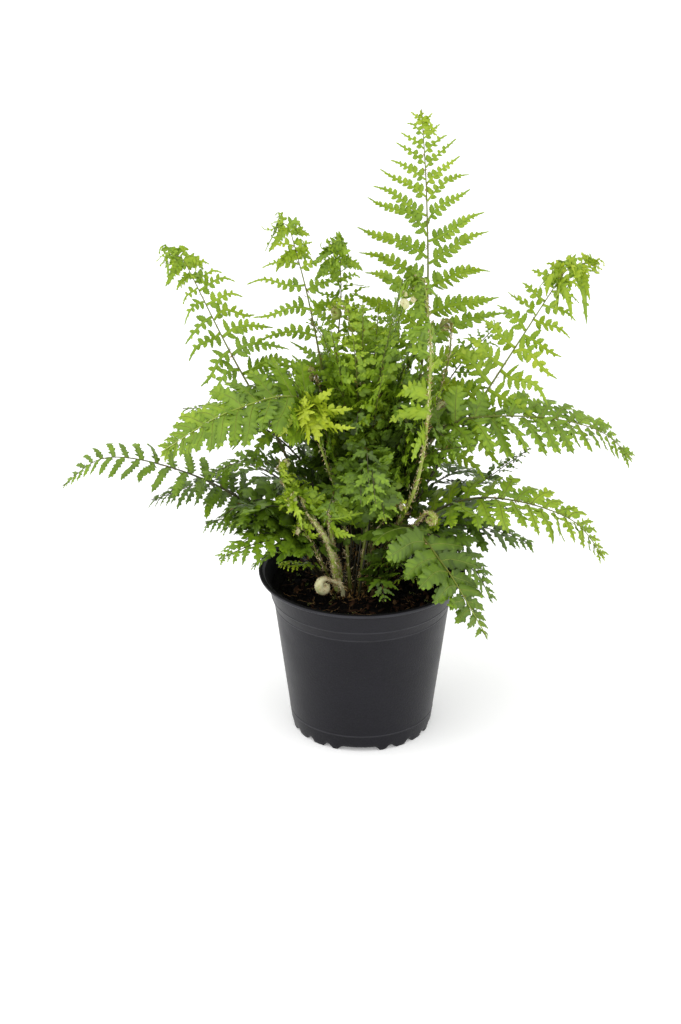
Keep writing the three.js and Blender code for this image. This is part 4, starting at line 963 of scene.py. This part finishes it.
def make_inner_growth():
    """The inner fronds in one piece for each of the nodes that they go with."""
    stems = inner_stems()
    for part, node in enumerate(INNER_NODES):
        shape = Shape()
        for k in range(part, len(stems), len(INNER_NODES)):
            stem = stems[k]
            rib, rng = Rib(stem), np.random.default_rng(INNER_SEED + 1 + k)
            add_frond(shape, stem, rib, {}, rng, False)
        piece = make_piece("growth_" + node, shape, PLANT_PAINTS)
        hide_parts(node)


def rolled_at(stem, share, young):
    """How far a pinna is still rolled in, in radians: more towards the tip of a frond that is opening."""
    if young:
        return 1.1 + 2.2 * share
    if "curl" in stem:
        return 2.6 * max(0.0, (share - 0.62) / 0.38) ** 1.3
    return 0.15


def add_coil(shape, line, aside, radius, rng, wool, count=60):
    """A curl's innermost turns, woolly with pale scales."""
    shares = np.linspace(0, 1, len(line))
    radii = radius * (1 - 0.65 * shares)
    add_tube(shape, line, radii, aside, 8, wool, STALK)
    tangent, first, second = sides_of(line, aside)
    k = rng.integers(0, len(shares), count)
    add_scales(shape, (line[k], tangent[k], first[k], second[k]), radii[k], rng, 1.7, WOOL_WIDTH, wool, SCALE,
               COIL_SPLAY)


CROZIER_SIDES, CROZIER_RINGS = 10, 26
INNER_TURN = 0.2
CROZIER_SCALES = 520
WOOL_LENGTH, WOOL_WIDTH = 1.9, 0.42


def make_crozier(stem, seed):
    """A young stem still tightly coiled, its coil thick and woolly with scales."""
    rib, rng = Rib(stem), np.random.default_rng(seed)
    shape = Shape()
    radius, turns = stem["curl"]
    curl_length = radius * 2 * math.pi * abs(turns) * (1 - CURL_CLOSING / 2)
    straight = rib.total - curl_length
    rings = max(8, int(straight / RING_SPACING))
    distances = np.concatenate([np.linspace(0, straight, rings, endpoint=False),
                                np.linspace(straight, rib.total, CROZIER_RINGS)])
    share = np.clip((distances - straight) / curl_length, 0, 1)
    inner_radius = radius * INNER_TURN
    swelling = radius * stem["swollen"] * np.sin(math.pi * np.clip(share * 0.85, 0, 1)) ** 0.7
    radii = half_width(stem, distances / rib.total) * (1 - share) + inner_radius * share
    radii = np.maximum(radii, swelling)
    wool = stem["wool"]
    add_tube(shape, rib.point(distances), np.maximum(radii, 0.5), rib.aside, CROZIER_SIDES, wool, STALK)
    add_coil(shape, rib.coil, rib.aside, inner_radius, rng, wool, 90)
    stalk_scales(shape, stem, rib, rng)
    coil = straight + rng.uniform(-0.15, 1, int(CROZIER_SCALES * stem["woolly"])) * curl_length
    coil_radius = np.interp(coil, distances, radii)
    add_scales(shape, rib.at(coil), coil_radius, rng, WOOL_LENGTH, WOOL_WIDTH, wool, SCALE, CROZIER_SPLAY)
    piece = make_piece("coiled_" + stem["name"], shape, PLANT_PAINTS)
    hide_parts(stem["name"])


# The pot

POT_HEIGHT = 108.0
RIM_RADIUS = 65.0
BASE_RADIUS = 44.2
WALL = 1.4
WALL_RADII = [(0, 44.2), (5, 44.9), (11, 45.6), (85, 55.2), (91.5, 57.2), (103.5, 60.4)]
FLOOR_UNDERSIDE = 2.5
FLOOR_TOP = 4.4
CENTRE_DISC_RADIUS = 14.0
FOOT_INNER_RADIUS = 39.5
LINES = [(11.5, 0.12), (85.0, 0.16), (91.5, 0.16)]
NOTCH_HEIGHT = 2.6
WIDE_NOTCH_ANGLE = 31.0
NARROW_NOTCH_ANGLE = 5.0
FIRST_WIDE_NOTCH = -92.5
NARROW_NOTCH_STEPS = (27, 45, 63)
LINE_HALF_WIDTH = 0.45
LIP_FROM = 103.5
LIP = [(62.6, 104.6), (64.2, 105.5), (64.8, 106.2), (RIM_RADIUS, 107.0), (64.85, 107.6), (64.4, POT_HEIGHT),
       (63.3, POT_HEIGHT), (62.8, 107.8), (62.3, 107.2), (61.2, 105.8)]
DRAIN_HOLES = 4
DRAIN_HOLE_RADIUS = 4.5
DRAIN_CIRCLE_RADIUS = 27.0
POT_SIDES = 192
SOIL_LEVEL = 96.5
SOIL_SIDES, SOIL_RINGS = 160, 46
SOIL_BUMP = 1.1
GRAINS, CHIPS, FIBRES, MOSS_TUFTS = 2300, 170, 150, 46
TOUCHING_GAP = 0.3


def wall_radius(height):
    return np.interp(height, [z for z, _ in WALL_RADII], [r for _, r in WALL_RADII])


def notch_heights(angles):
    """How high the foot's edge stands off the ground at each azimuth, with round lobes between notches."""
    rise = np.zeros_like(angles)
    for quarter in range(4):
        wide = FIRST_WIDE_NOTCH + 90 * quarter
        notches = [(wide, WIDE_NOTCH_ANGLE)] + [(wide + s, NARROW_NOTCH_ANGLE) for s in NARROW_NOTCH_STEPS]
        for middle, angle in notches:
            off = np.abs((angles - middle + 180) % 360 - 180)
            edge = np.clip((angle / 2 + 1.6 - off) / 3.2, 0, 1)
            rise = np.maximum(rise, NOTCH_HEIGHT * edge**0.6)
    return rise


def outer_wall():
    """The wall's outline from the foot to the lip: radius, height, and how far it follows the notches."""
    rows = [(FOOT_INNER_RADIUS + 0.3, 0.0, 1.0), (BASE_RADIUS - 1.0, 0.0, 1.0),
            (BASE_RADIUS - 0.25, 0.25, 1.0), (BASE_RADIUS + 0.1, 1.0, 0.9), (wall_radius(3.0), 3.0, 0.35),
            (wall_radius(5.0), 5.0, 0.0)]
    heights = list(np.arange(8, 103, 5.0))
    for middle, relief in LINES:
        heights = [z for z in heights if abs(z - middle) > 2.2]
        heights += [middle + z for z in (-1.2, -0.45, -0.3, -0.12, 0.12, 0.3, 0.45, 1.2)]
    for z in sorted(heights):
        bulge = sum(relief * max(0.0, 1 - ((z - middle) / LINE_HALF_WIDTH) ** 2) ** 0.5
                    for middle, relief in LINES if abs(z - middle) < LINE_HALF_WIDTH)
        rows.append((wall_radius(z) + bulge, z, 0.0))
    return rows


def pot_rows():
    """The pot's outline all round: under the floor, up the wall, over the lip and down the inside."""
    lip = [(wall_radius(LIP_FROM), LIP_FROM), *LIP]
    inner = [(wall_radius(LIP_FROM) - WALL + 0.6, LIP_FROM + 1), (wall_radius(97) - WALL, 97.0),
             (wall_radius(91.5) - WALL, 91.5), (wall_radius(11) - WALL, FLOOR_TOP + 4),
             (BASE_RADIUS - WALL - 1.2, FLOOR_TOP), (0, FLOOR_TOP)]
    under = [(0, 0.0), (CENTRE_DISC_RADIUS, 0.0), (CENTRE_DISC_RADIUS + 1, FLOOR_UNDERSIDE),
             (FOOT_INNER_RADIUS - 1, FLOOR_UNDERSIDE)]
    plain = [(r, z, 0.0) for r, z in lip + inner]
    return [(r, z, 0.0) for r, z in under] + outer_wall() + plain


def lathe(rows, sides, lift):
    """A closed turned body: rows of radius, height and share of the lift that its azimuth gets."""
    angles = 360 * np.arange(sides) / sides
    rise = lift(angles)
    cos, sin = np.cos(np.radians(angles)), np.sin(np.radians(angles))
    points, starts = [], []
    for r, z, follow in rows:
        starts.append(sum(len(p) for p in points))
        if r == 0:
            points.append(np.array([[0.0, 0.0, z]]))
        else:
            points.append(np.stack([r * cos, r * sin, z + follow * rise], -1))
    faces = []
    here, after = ring_numbers(sides)
    for k in range(len(rows) - 1):
        a, b = starts[k], starts[k + 1]
        if len(points[k]) == 1:
            faces.append(np.stack([np.full(sides, a), b + after, b + here], -1))
        elif len(points[k + 1]) == 1:
            faces.append(np.stack([a + here, a + after, np.full(sides, b)], -1))
        else:
            faces.append(np.stack([a + here, a + after, b + after], -1))
            faces.append(np.stack([a + here, b + after, b + here], -1))
    return np.concatenate(points), np.concatenate(faces)


def make_pot():
    """The turned pot, with a matte material for its inside and the lip's top that also paints shadow under
    the lip, a lighter one painting highlights on its lines and the lip's edge, and with its drain holes cut.
    """
    shape = Shape()
    rows = pot_rows()
    points, faces = lathe(rows, POT_SIDES, notch_heights)
    shape.add(points, faces, 0.0)
    middles = points[faces].mean(1)
    radius = np.hypot(middles[:, 0], middles[:, 1])
    inside = (radius < wall_radius(middles[:, 2]) - 0.2) & (middles[:, 2] > FLOOR_TOP - 0.1)
    # Lighter paint on the moulded lines and the lip's outer edge is a painted highlight.
    line_highlight = np.any([np.abs(middles[:, 2] - z) < LINE_HALF_WIDTH for z, _ in LINES], axis=0) & ~inside
    lip_edge_highlight = (radius > 64.5) & (middles[:, 2] > 105.9) & (middles[:, 2] < 107.5)
    # The matte inside paint also goes on the lip's top, and under the lip as a painted shadow.
    matte_lip_and_shadow = ((middles[:, 2] > 107.5) | ((middles[:, 2] > 103.6) & (middles[:, 2] < 105.4))) & ~inside
    shape.materials = [(inside | matte_lip_and_shadow) + 2 * (line_highlight | lip_edge_highlight)]
    pot = make_piece("moulded_pot", shape, [pot_paint, pot_matte_and_shadow_paint, pot_highlight_paint], 40.0)
    for hole in range(DRAIN_HOLES):
        place = on_circle(DRAIN_CIRCLE_RADIUS, 360 * hole / DRAIN_HOLES, 3.5) * 0.001
        bpy.ops.mesh.primitive_cylinder_add(vertices=32, radius=DRAIN_HOLE_RADIUS * 0.001, depth=0.006,
                                            location=place)
        cutter = bpy.context.object
        cut = pot.modifiers.new("drain", "BOOLEAN")
        cut.operation, cut.object, cut.solver = "DIFFERENCE", cutter, "EXACT"
        bpy.context.view_layer.objects.active = pot
        bpy.ops.object.modifier_apply(modifier="drain")
        bpy.data.objects.remove(cutter)
    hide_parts("pot")


# The soil and the crown


def smooth_noise(points, scale, seed):
    """Soft bumps from -1 to 1 over flat points, from sines of chance directions."""
    rng = np.random.default_rng(seed)
    total = np.zeros(len(points))
    for _ in range(10):
        angle, phase = rng.uniform(0, 2 * math.pi, 2)
        size = scale * rng.uniform(0.6, 1.8)
        total += np.sin((points[:, 0] * math.cos(angle) + points[:, 1] * math.sin(angle)) / size + phase)
    return total / 5


def soil_height(points):
    """The soil's surface: rough, a little lower against the wall, and heaped round the crown."""
    from_crown = np.hypot(points[:, 0] - CROWN_AT[0], points[:, 1] - CROWN_AT[1])
    heap = 2.2 * np.exp(-((from_crown / 24) ** 2))
    fine = smooth_noise(points, 0.9, 5) * 0.35 + smooth_noise(points, 2.4, 6) * 0.5
    return SOIL_LEVEL + heap + fine + smooth_noise(points, 9.0, 7) * SOIL_BUMP * 0.7


def soil_bed():
    angles = 2 * math.pi * np.arange(SOIL_SIDES) / SOIL_SIDES
    rim = float(wall_radius(SOIL_LEVEL)) - WALL - 0.25
    flat = [np.zeros((1, 2))] + [flat_points(rim * k / SOIL_RINGS, angles) for k in range(1, SOIL_RINGS + 1)]
    flat = np.concatenate(flat)
    points = [np.column_stack([flat, soil_height(flat)])]
    walls = [(float(wall_radius(z)) - WALL - 0.4, z) for z in (88.0, 40.0, 14.0)]
    walls.append((BASE_RADIUS - WALL - 1.8, FLOOR_TOP + TOUCHING_GAP))
    for r, z in walls:
        points.append(np.column_stack([flat_points(r, angles), np.full(SOIL_SIDES, z)]))
    points.append(np.array([[0, 0, FLOOR_TOP + TOUCHING_GAP]]))
    return np.concatenate(points), mound_faces(SOIL_RINGS + len(walls), SOIL_SIDES)


# A grain is an octahedron, and a bark crumb one whose edges are split and their middles pushed out.
GRAIN = [(1, 0, 0), (-1, 0, 0), (0, 1, 0), (0, -1, 0), (0, 0, 1), (0, 0, -1)]
GRAIN_FACES = [(0, 2, 4), (2, 1, 4), (1, 3, 4), (3, 0, 4), (2, 0, 5), (1, 2, 5), (3, 1, 5), (0, 3, 5)]
EDGES = [(0, 2), (1, 2), (0, 3), (1, 3), (0, 4), (1, 4), (2, 4), (3, 4), (0, 5), (1, 5), (2, 5), (3, 5)]
LUMP = GRAIN + [tuple(0.7 * (p + q) for p, q in zip(GRAIN[a], GRAIN[b])) for a, b in EDGES]
LUMP_FACES = []
for a, b, c in GRAIN_FACES:
    ab, bc, ca = (len(GRAIN) + EDGES.index((min(edge), max(edge))) for edge in ((a, b), (b, c), (c, a)))
    LUMP_FACES += [(a, ab, ca), (ab, b, bc), (ca, bc, c), (ab, bc, ca)]


def add_lumps(shape, at, sizes, rng, tone, form=LUMP, form_faces=LUMP_FACES):
    """Uneven grains: at gives their middles and sizes their three half lengths."""
    ball = np.array(form, float)
    count = len(at)
    uneven = ball[None] * rng.uniform(0.7, 1.25, (count, len(ball), 1))
    turn, tip = rng.uniform(0, 2 * math.pi, count), rng.normal(0, 0.5, count)
    uneven = uneven * sizes[:, None]
    x, y, z = (uneven[..., i] for i in range(3))
    c, s = np.cos(tip)[:, None], np.sin(tip)[:, None]
    x, z = x * c - z * s, x * s + z * c
    c, s = np.cos(turn)[:, None], np.sin(turn)[:, None]
    placed = np.stack([x * c - y * s, x * s + y * c, z], -1) + at[:, None]
    shape.add_copies(placed, np.array(form_faces), tone, np.zeros(len(ball)))


def over_soil(count, rng, reach=52.0, rise=0.3):
    """Chance places on the soil's surface."""
    flat = chance_disc(count, reach, rng)
    return np.column_stack([flat, soil_height(flat) + rise])


def make_soil():
    """The bed of soil with its grains, crumbs of bark and threads of root, and the moss on it."""
    rng = np.random.default_rng(31)
    shape = Shape()
    points, faces = soil_bed()
    shape.add(points, faces, 0.25)
    grains = over_soil(GRAINS, rng)
    sizes = rng.uniform(0.35, 1.3, (GRAINS, 1)) * rng.uniform(0.6, 1.3, (GRAINS, 3))
    add_lumps(shape, grains, sizes, rng, rng.uniform(0.05, 0.5, GRAINS), GRAIN, GRAIN_FACES)
    chips = over_soil(CHIPS, rng, rise=0.7)
    sizes = np.column_stack([rng.uniform(*span, CHIPS) for span in ((1.6, 4.2), (0.8, 1.9), (0.3, 0.7))])
    add_lumps(shape, chips, sizes, rng, rng.uniform(0.5, 0.85, CHIPS))
    for start in over_soil(FIBRES, rng, 50.0, 0.6):
        add_fibre(shape, start, rng)
    bed = make_piece("soil_bed", shape, [soil_paint, moss_paint], 35.0)
    add_moss(rng)
    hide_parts("soil")


def add_fibre(shape, start, rng):
    """A thin bent thread of root lying on the soil."""
    heading = rng.uniform(0, 2 * math.pi)
    length, steps = rng.uniform(4, 13), 6
    line = [start]
    for _ in range(steps):
        heading += rng.normal(0, 0.45)
        line.append(line[-1] + np.array([math.cos(heading), math.sin(heading), rng.normal(0, 0.12)])
                    * length / steps)
    line = np.array(line)
    inside = np.hypot(line[:, 0], line[:, 1]) < 54
    if inside.all():
        line[:, 2] = soil_height(line[:, :2]) + 0.5 + np.linspace(0, rng.uniform(0, 1.2), len(line))
        add_tube(shape, line, np.linspace(0.22, 0.1, len(line)), np.array([0.3, 0.5, 0.8]), 4,
                 rng.uniform(0.6, 1.0), 0)


def add_moss(rng):
    """Small tufts of pale green threads on the soil."""
    shape = Shape()
    for tuft in over_soil(MOSS_TUFTS, rng, 50.0, 0.2):
        count = rng.integers(8, 22)
        point = tuft + rng.normal(0, 0.9, (count, 3)) * (1, 1, 0.1)
        along = unit(rng.normal(0, 0.5, (count, 3)) + UP)
        side = unit(np.cross(along, [0.3, 0.8, 0.1]))
        add_scales(shape, (point, along, side, np.cross(along, side)), np.full(count, 0.2), rng, 1.9, 0.5,
                   rng.uniform(0.2, 0.8), 0)
    moss = make_piece("soil_moss", shape, [moss_paint])
    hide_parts("soil")


CROWN_SIDES, CROWN_RINGS = 72, 20
CROWN_FOOT = 90.0
CROWN_SCALES = 1800
STUBS = 34


def crown_height(points):
    from_centre = np.hypot(points[:, 0], points[:, 1])
    return CROWN_TOP - 3.2 - 5.0 * (from_centre / CROWN_RADIUS) ** 2 + smooth_noise(points, 3.2, 12) * 0.8


def make_crown():
    """The crown: a lumpy mass of old leaf bases, thick with brown scales."""
    rng = np.random.default_rng(77)
    shape = Shape()
    angles = 2 * math.pi * np.arange(CROWN_SIDES) / CROWN_SIDES
    outline = 1 + 0.07 * np.sin(3 * angles + 1) + 0.05 * np.sin(7 * angles)
    flat = [np.zeros((1, 2))]
    for k in range(1, CROWN_RINGS + 1):
        flat.append(flat_points((CROWN_RADIUS - 2) * k / CROWN_RINGS * outline, angles))
    flat = np.concatenate(flat)
    low = np.column_stack([flat[-CROWN_SIDES:] * 0.9, np.full(CROWN_SIDES, CROWN_FOOT)])
    points = np.concatenate([np.column_stack([flat, crown_height(flat)]), low, [[0, 0, CROWN_FOOT]]])
    shape.add(points + [*CROWN_AT, 0], mound_faces(CROWN_RINGS + 1, CROWN_SIDES), 0.3)
    add_stubs(shape, rng)
    flat = chance_disc(CROWN_SCALES, CROWN_RADIUS - 3, rng)
    base = np.column_stack([flat, crown_height(flat)]) + [*CROWN_AT, 0]
    spread = np.column_stack([flat * 0.03, np.full(CROWN_SCALES, 0.8)])
    along = unit(spread + rng.normal(0, 0.45, (CROWN_SCALES, 3)))
    side = unit(np.cross(along, [0.2, 0.9, 0.1]))
    add_scales(shape, (base, along, side, np.cross(along, side)), np.full(CROWN_SCALES, 0.4), rng, 4.2, 0.7,
               0.4, 1)
    crown = make_piece("scaly_crown", shape, [crown_paint, scale_paint])
    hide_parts("crown")


def add_stubs(shape, rng):
    """Short stubs of old stems round the crown."""
    for _ in range(STUBS):
        angle, radius = rng.uniform(0, 2 * math.pi), rng.uniform(6, 21)
        flat = np.array([[radius * math.cos(angle), radius * math.sin(angle)]])
        foot = np.array([*flat[0], crown_height(flat)[0] - 2]) + [*CROWN_AT, 0]
        lean = unit(np.array([math.cos(angle) * 0.5, math.sin(angle) * 0.5, 1.0]) + rng.normal(0, 0.2, 3))
        length = rng.uniform(4, 9)
        line = foot + lean * np.linspace(0, length, 6)[:, None] + rng.normal(0, 0.12, (6, 3))
        add_tube(shape, line, np.linspace(1.9, 1.2, 6) * rng.uniform(0.6, 1.1), np.array([1.0, 0.1, 0]), 8,
                 rng.uniform(0.3, 0.7), 0)


# Materials


def linear(red, green, blue):
    """A colour given as it shows on a screen, from 0 to 255, as linear light."""
    values = [v / 255 for v in (red, green, blue)]
    return tuple(v / 12.92 if v <= 0.04045 else ((v + 0.055) / 1.055) ** 2.4 for v in values) + (1.0,)


class Paint:
    """A material made of one Principled shader, with short ways to build the nodes in front of it."""

    def __init__(self, name, roughness, specular):
        self.material = bpy.data.materials.new(name)
        self.material.use_nodes = True
        self.nodes, self.links = self.material.node_tree.nodes, self.material.node_tree.links
        self.shader = self.nodes["Principled BSDF"]
        self.shader.inputs["Roughness"].default_value = roughness
        self.shader.inputs["Specular IOR Level"].default_value = specular

    def attribute(self, name):
        node = self.nodes.new("ShaderNodeAttribute")
        node.attribute_name = name
        return node.outputs["Fac"]

    def noise(self, scale, detail=4.0):
        """Noise over the object's own coordinates, about 0.5 on average."""
        place = self.nodes.new("ShaderNodeTexCoord")
        node = self.nodes.new("ShaderNodeTexNoise")
        node.inputs["Scale"].default_value = scale
        node.inputs["Detail"].default_value = detail
        self.links.new(place.outputs["Object"], node.inputs["Vector"])
        return node.outputs["Fac"]

    def speckle(self, scale, detail, amount):
        """Noise about 0, to add to a tone."""
        return self.math("MULTIPLY", self.math("SUBTRACT", self.noise(scale, detail), 0.5), amount)

    def math(self, operation, first, second):
        node = self.nodes.new("ShaderNodeMath")
        node.operation = operation
        for value, socket in ((first, node.inputs[0]), (second, node.inputs[1])):
            if isinstance(value, (int, float)):
                socket.default_value = value
            else:
                self.links.new(value, socket)
        return node.outputs[0]

    def ramp(self, value, stops):
        node = self.nodes.new("ShaderNodeValToRGB")
        self.links.new(value, node.inputs["Fac"])
        band = node.color_ramp.elements
        while len(band) < len(stops):
            band.new(0.5)
        for element, (position, colour) in zip(band, stops):
            element.position, element.color = position, linear(*colour)
        return node.outputs["Color"]

    def bump(self, scale, detail, strength, distance):
        node = self.nodes.new("ShaderNodeBump")
        node.inputs["Strength"].default_value = strength
        node.inputs["Distance"].default_value = distance
        self.links.new(self.noise(scale, detail), node.inputs["Height"])
        self.links.new(node.outputs["Normal"], self.shader.inputs["Normal"])

    def finish(self, colour):
        self.links.new(colour, self.shader.inputs["Base Color"])
        return self.material


LEAF_GREENS = [(0.0, (26, 37, 8)), (0.2, (53, 73, 15)), (0.42, (88, 116, 22)), (0.62, (119, 151, 27)),
               (0.82, (148, 175, 36)), (1.0, (174, 191, 46))]


def toned_paint(name, roughness, specular, speckle, stops, bump=None):
    """A material coloured by the tone of its points.

    speckle is a noise's scale, detail and amount, and bump a noise's scale and detail, then the strength and
    the distance in metres.
    """
    paint = Paint(name, roughness, specular)
    colour = paint.ramp(paint.math("ADD", paint.attribute("tone"), paint.speckle(*speckle)), stops)
    if bump:
        paint.bump(*bump)
    return paint.finish(colour)


def clouded_paint(name, roughness, specular, noise, stops, glow=0.0):
    """A material clouded by noise of a scale and detail."""
    paint = Paint(name, roughness, specular)
    if glow:
        paint.shader.inputs["Emission Color"].default_value = (1, 1, 1, 1)
        paint.shader.inputs["Emission Strength"].default_value = glow
    return paint.finish(paint.ramp(paint.noise(*noise), stops))


def make_leaf_paint():
    paint = Paint("fern_leaf", 0.45, 0.4)
    uneven = paint.math("ADD", paint.speckle(160, 5, 0.34), paint.speckle(22, 2, 0.26))
    tone = paint.math("ADD", paint.attribute("tone"), uneven)
    rib = paint.math("MULTIPLY", paint.attribute("rib"), 0.09)
    paint.bump(700, 3, 0.3, 0.0005)
    return paint.finish(paint.ramp(paint.math("ADD", tone, rib), LEAF_GREENS))


def make_pot_paint():
    paint = Paint("black_plastic", 0.4, 0.25)
    paint.shader.inputs["Specular Tint"].default_value = (0.94, 0.92, 1.0, 1.0)
    cloud = paint.math("ADD", paint.noise(35, 4), paint.speckle(1100, 2, 1.6))
    scuffed = paint.ramp(paint.noise(60, 5), [(0.35, (165, 165, 165)), (0.7, (178, 178, 178))])
    paint.links.new(scuffed, paint.shader.inputs["Roughness"])
    paint.bump(800, 3, 0.3, 0.0004)
    return paint.finish(paint.ramp(cloud, [(0.2, (4, 4, 8)), (0.8, (14, 14, 20))]))


def make_moss_paint():
    paint = Paint("moss_threads", 0.7, 0.25)
    tone = paint.math("ADD", paint.attribute("tone"), paint.math("MULTIPLY", paint.noise(200, 3), 0.3))
    return paint.finish(paint.ramp(tone, [(0.0, (48, 60, 24)), (0.5, (96, 110, 48)), (1.0, (160, 160, 96))]))


leaf_paint = make_leaf_paint()
stalk_paint = toned_paint("fern_stalk", 0.45, 0.4, (240, 3, 0.35), [
    (0.0, (30, 26, 12)), (0.3, (70, 72, 26)), (0.55, (118, 130, 46)), (0.8, (158, 176, 72)),
    (1.0, (216, 214, 168))], (500, 3, 0.15, 0.0003))
scale_paint = toned_paint("papery_scales", 0.6, 0.3, (300, 2, 0.5), [
    (0.0, (58, 38, 18)), (0.35, (110, 78, 36)), (0.65, (160, 128, 70)), (1.0, (228, 214, 174))])
PLANT_PAINTS = [leaf_paint, stalk_paint, scale_paint]  # as LEAF, STALK and SCALE count them
pot_paint = make_pot_paint()
# The matte paint of the inside and the lip's top, also put under the lip as a painted shadow.
pot_matte_and_shadow_paint = clouded_paint("pot_matte_and_painted_shadow", 0.7, 0.08, (60, 4), [(0.3, (9, 9, 10)), (0.7, (17, 16, 17))])
# A lighter paint for the moulded lines and the lip's edge: a painted highlight.
pot_highlight_paint = clouded_paint("pot_painted_highlight", 0.6, 0.3, (90, 4), [(0.3, (30, 30, 35)), (0.7, (44, 44, 50))])
soil_paint = toned_paint("peaty_soil", 0.9, 0.08, (320, 6, 0.7), [
    (0.0, (3, 2, 2)), (0.3, (8, 6, 5)), (0.52, (18, 12, 8)), (0.78, (50, 31, 19)), (1.0, (122, 96, 64))],
    (700, 6, 0.5, 0.0006))
moss_paint = make_moss_paint()
crown_paint = toned_paint("old_crown", 0.75, 0.25, (260, 5, 0.8), [
    (0.0, (24, 17, 10)), (0.4, (58, 42, 24)), (0.7, (92, 82, 42)), (1.0, (128, 122, 66))],
    (600, 5, 0.5, 0.0006))


# The stage


FLOOR_HALF = 3.0
SOFTBOX_AIM = (0, 0, 0.16)
CAMERA_AT = (-0.0135, -1.7822, 1.0162)
CAMERA_LENS, CAMERA_SENSOR = 111.7, 36.0
CAMERA_PITCH = 64


def make_floor():
    mesh = bpy.data.meshes.new("paper_sweep")
    corners = [(-1, -1, 0), (1, -1, 0), (1, 1, 0), (-1, 1, 0)]
    mesh.from_pydata([(x * FLOOR_HALF, y * FLOOR_HALF, z) for x, y, z in corners], [], [(0, 1, 2, 3)])
    mesh.materials.append(clouded_paint("white_paper", 0.9, 0.1, (3, 2),
                                        [(0.3, (250, 250, 250)), (0.7, (255, 255, 255))], glow=0.22))
    floor = bpy.data.objects.new("paper_sweep", mesh)
    bpy.context.scene.collection.objects.link(floor)


def add_softbox(name, place, size, watts):
    data = bpy.data.lights.new(name, "AREA")
    data.shape, data.size, data.size_y, data.energy = "RECTANGLE", size[0], size[1], watts
    light = bpy.data.objects.new(name, data)
    light.location = place
    heading = np.array(SOFTBOX_AIM) - np.array(place)
    flat = math.hypot(heading[0], heading[1])
    light.rotation_euler = (math.atan2(flat, -heading[2]), 0, math.atan2(-heading[0], heading[1]))
    bpy.context.scene.collection.objects.link(light)


def set_stage():
    scene = bpy.context.scene
    make_floor()
    world = bpy.data.worlds.new("white_room")
    world.use_nodes = True
    world.node_tree.nodes["Background"].inputs["Color"].default_value = (1, 1, 1, 1)
    world.node_tree.nodes["Background"].inputs["Strength"].default_value = 1.0
    scene.world = world
    add_softbox("key_light", (-0.5, -0.7, 1.9), (1.6, 1.2), 8)
    add_softbox("left_light", (-1.5, -0.3, 0.6), (1.0, 1.4), 4)
    add_softbox("right_light", (1.5, -0.2, 0.6), (1.0, 1.4), 3)
    camera = bpy.data.cameras.new("camera")
    camera.lens, camera.sensor_width = CAMERA_LENS, CAMERA_SENSOR
    camera_object = bpy.data.objects.new("camera", camera)
    camera_object.location = CAMERA_AT
    camera_object.rotation_euler = (math.radians(CAMERA_PITCH), 0, 0)
    scene.collection.objects.link(camera_object)
    scene.camera = camera_object
    scene.view_settings.view_transform = "Standard"


set_stage()
make_pot()
make_soil()
make_crown()
make_inner_growth()
for number, stem in enumerate(FRONDS + YOUNG):
    seed = FIRST_SEED + SEED_STEP * number
    young = number >= len(FRONDS)
    if stem["pairs"]:
        make_leafy(stem, seed, young)
    else:
        make_crozier(stem, seed)
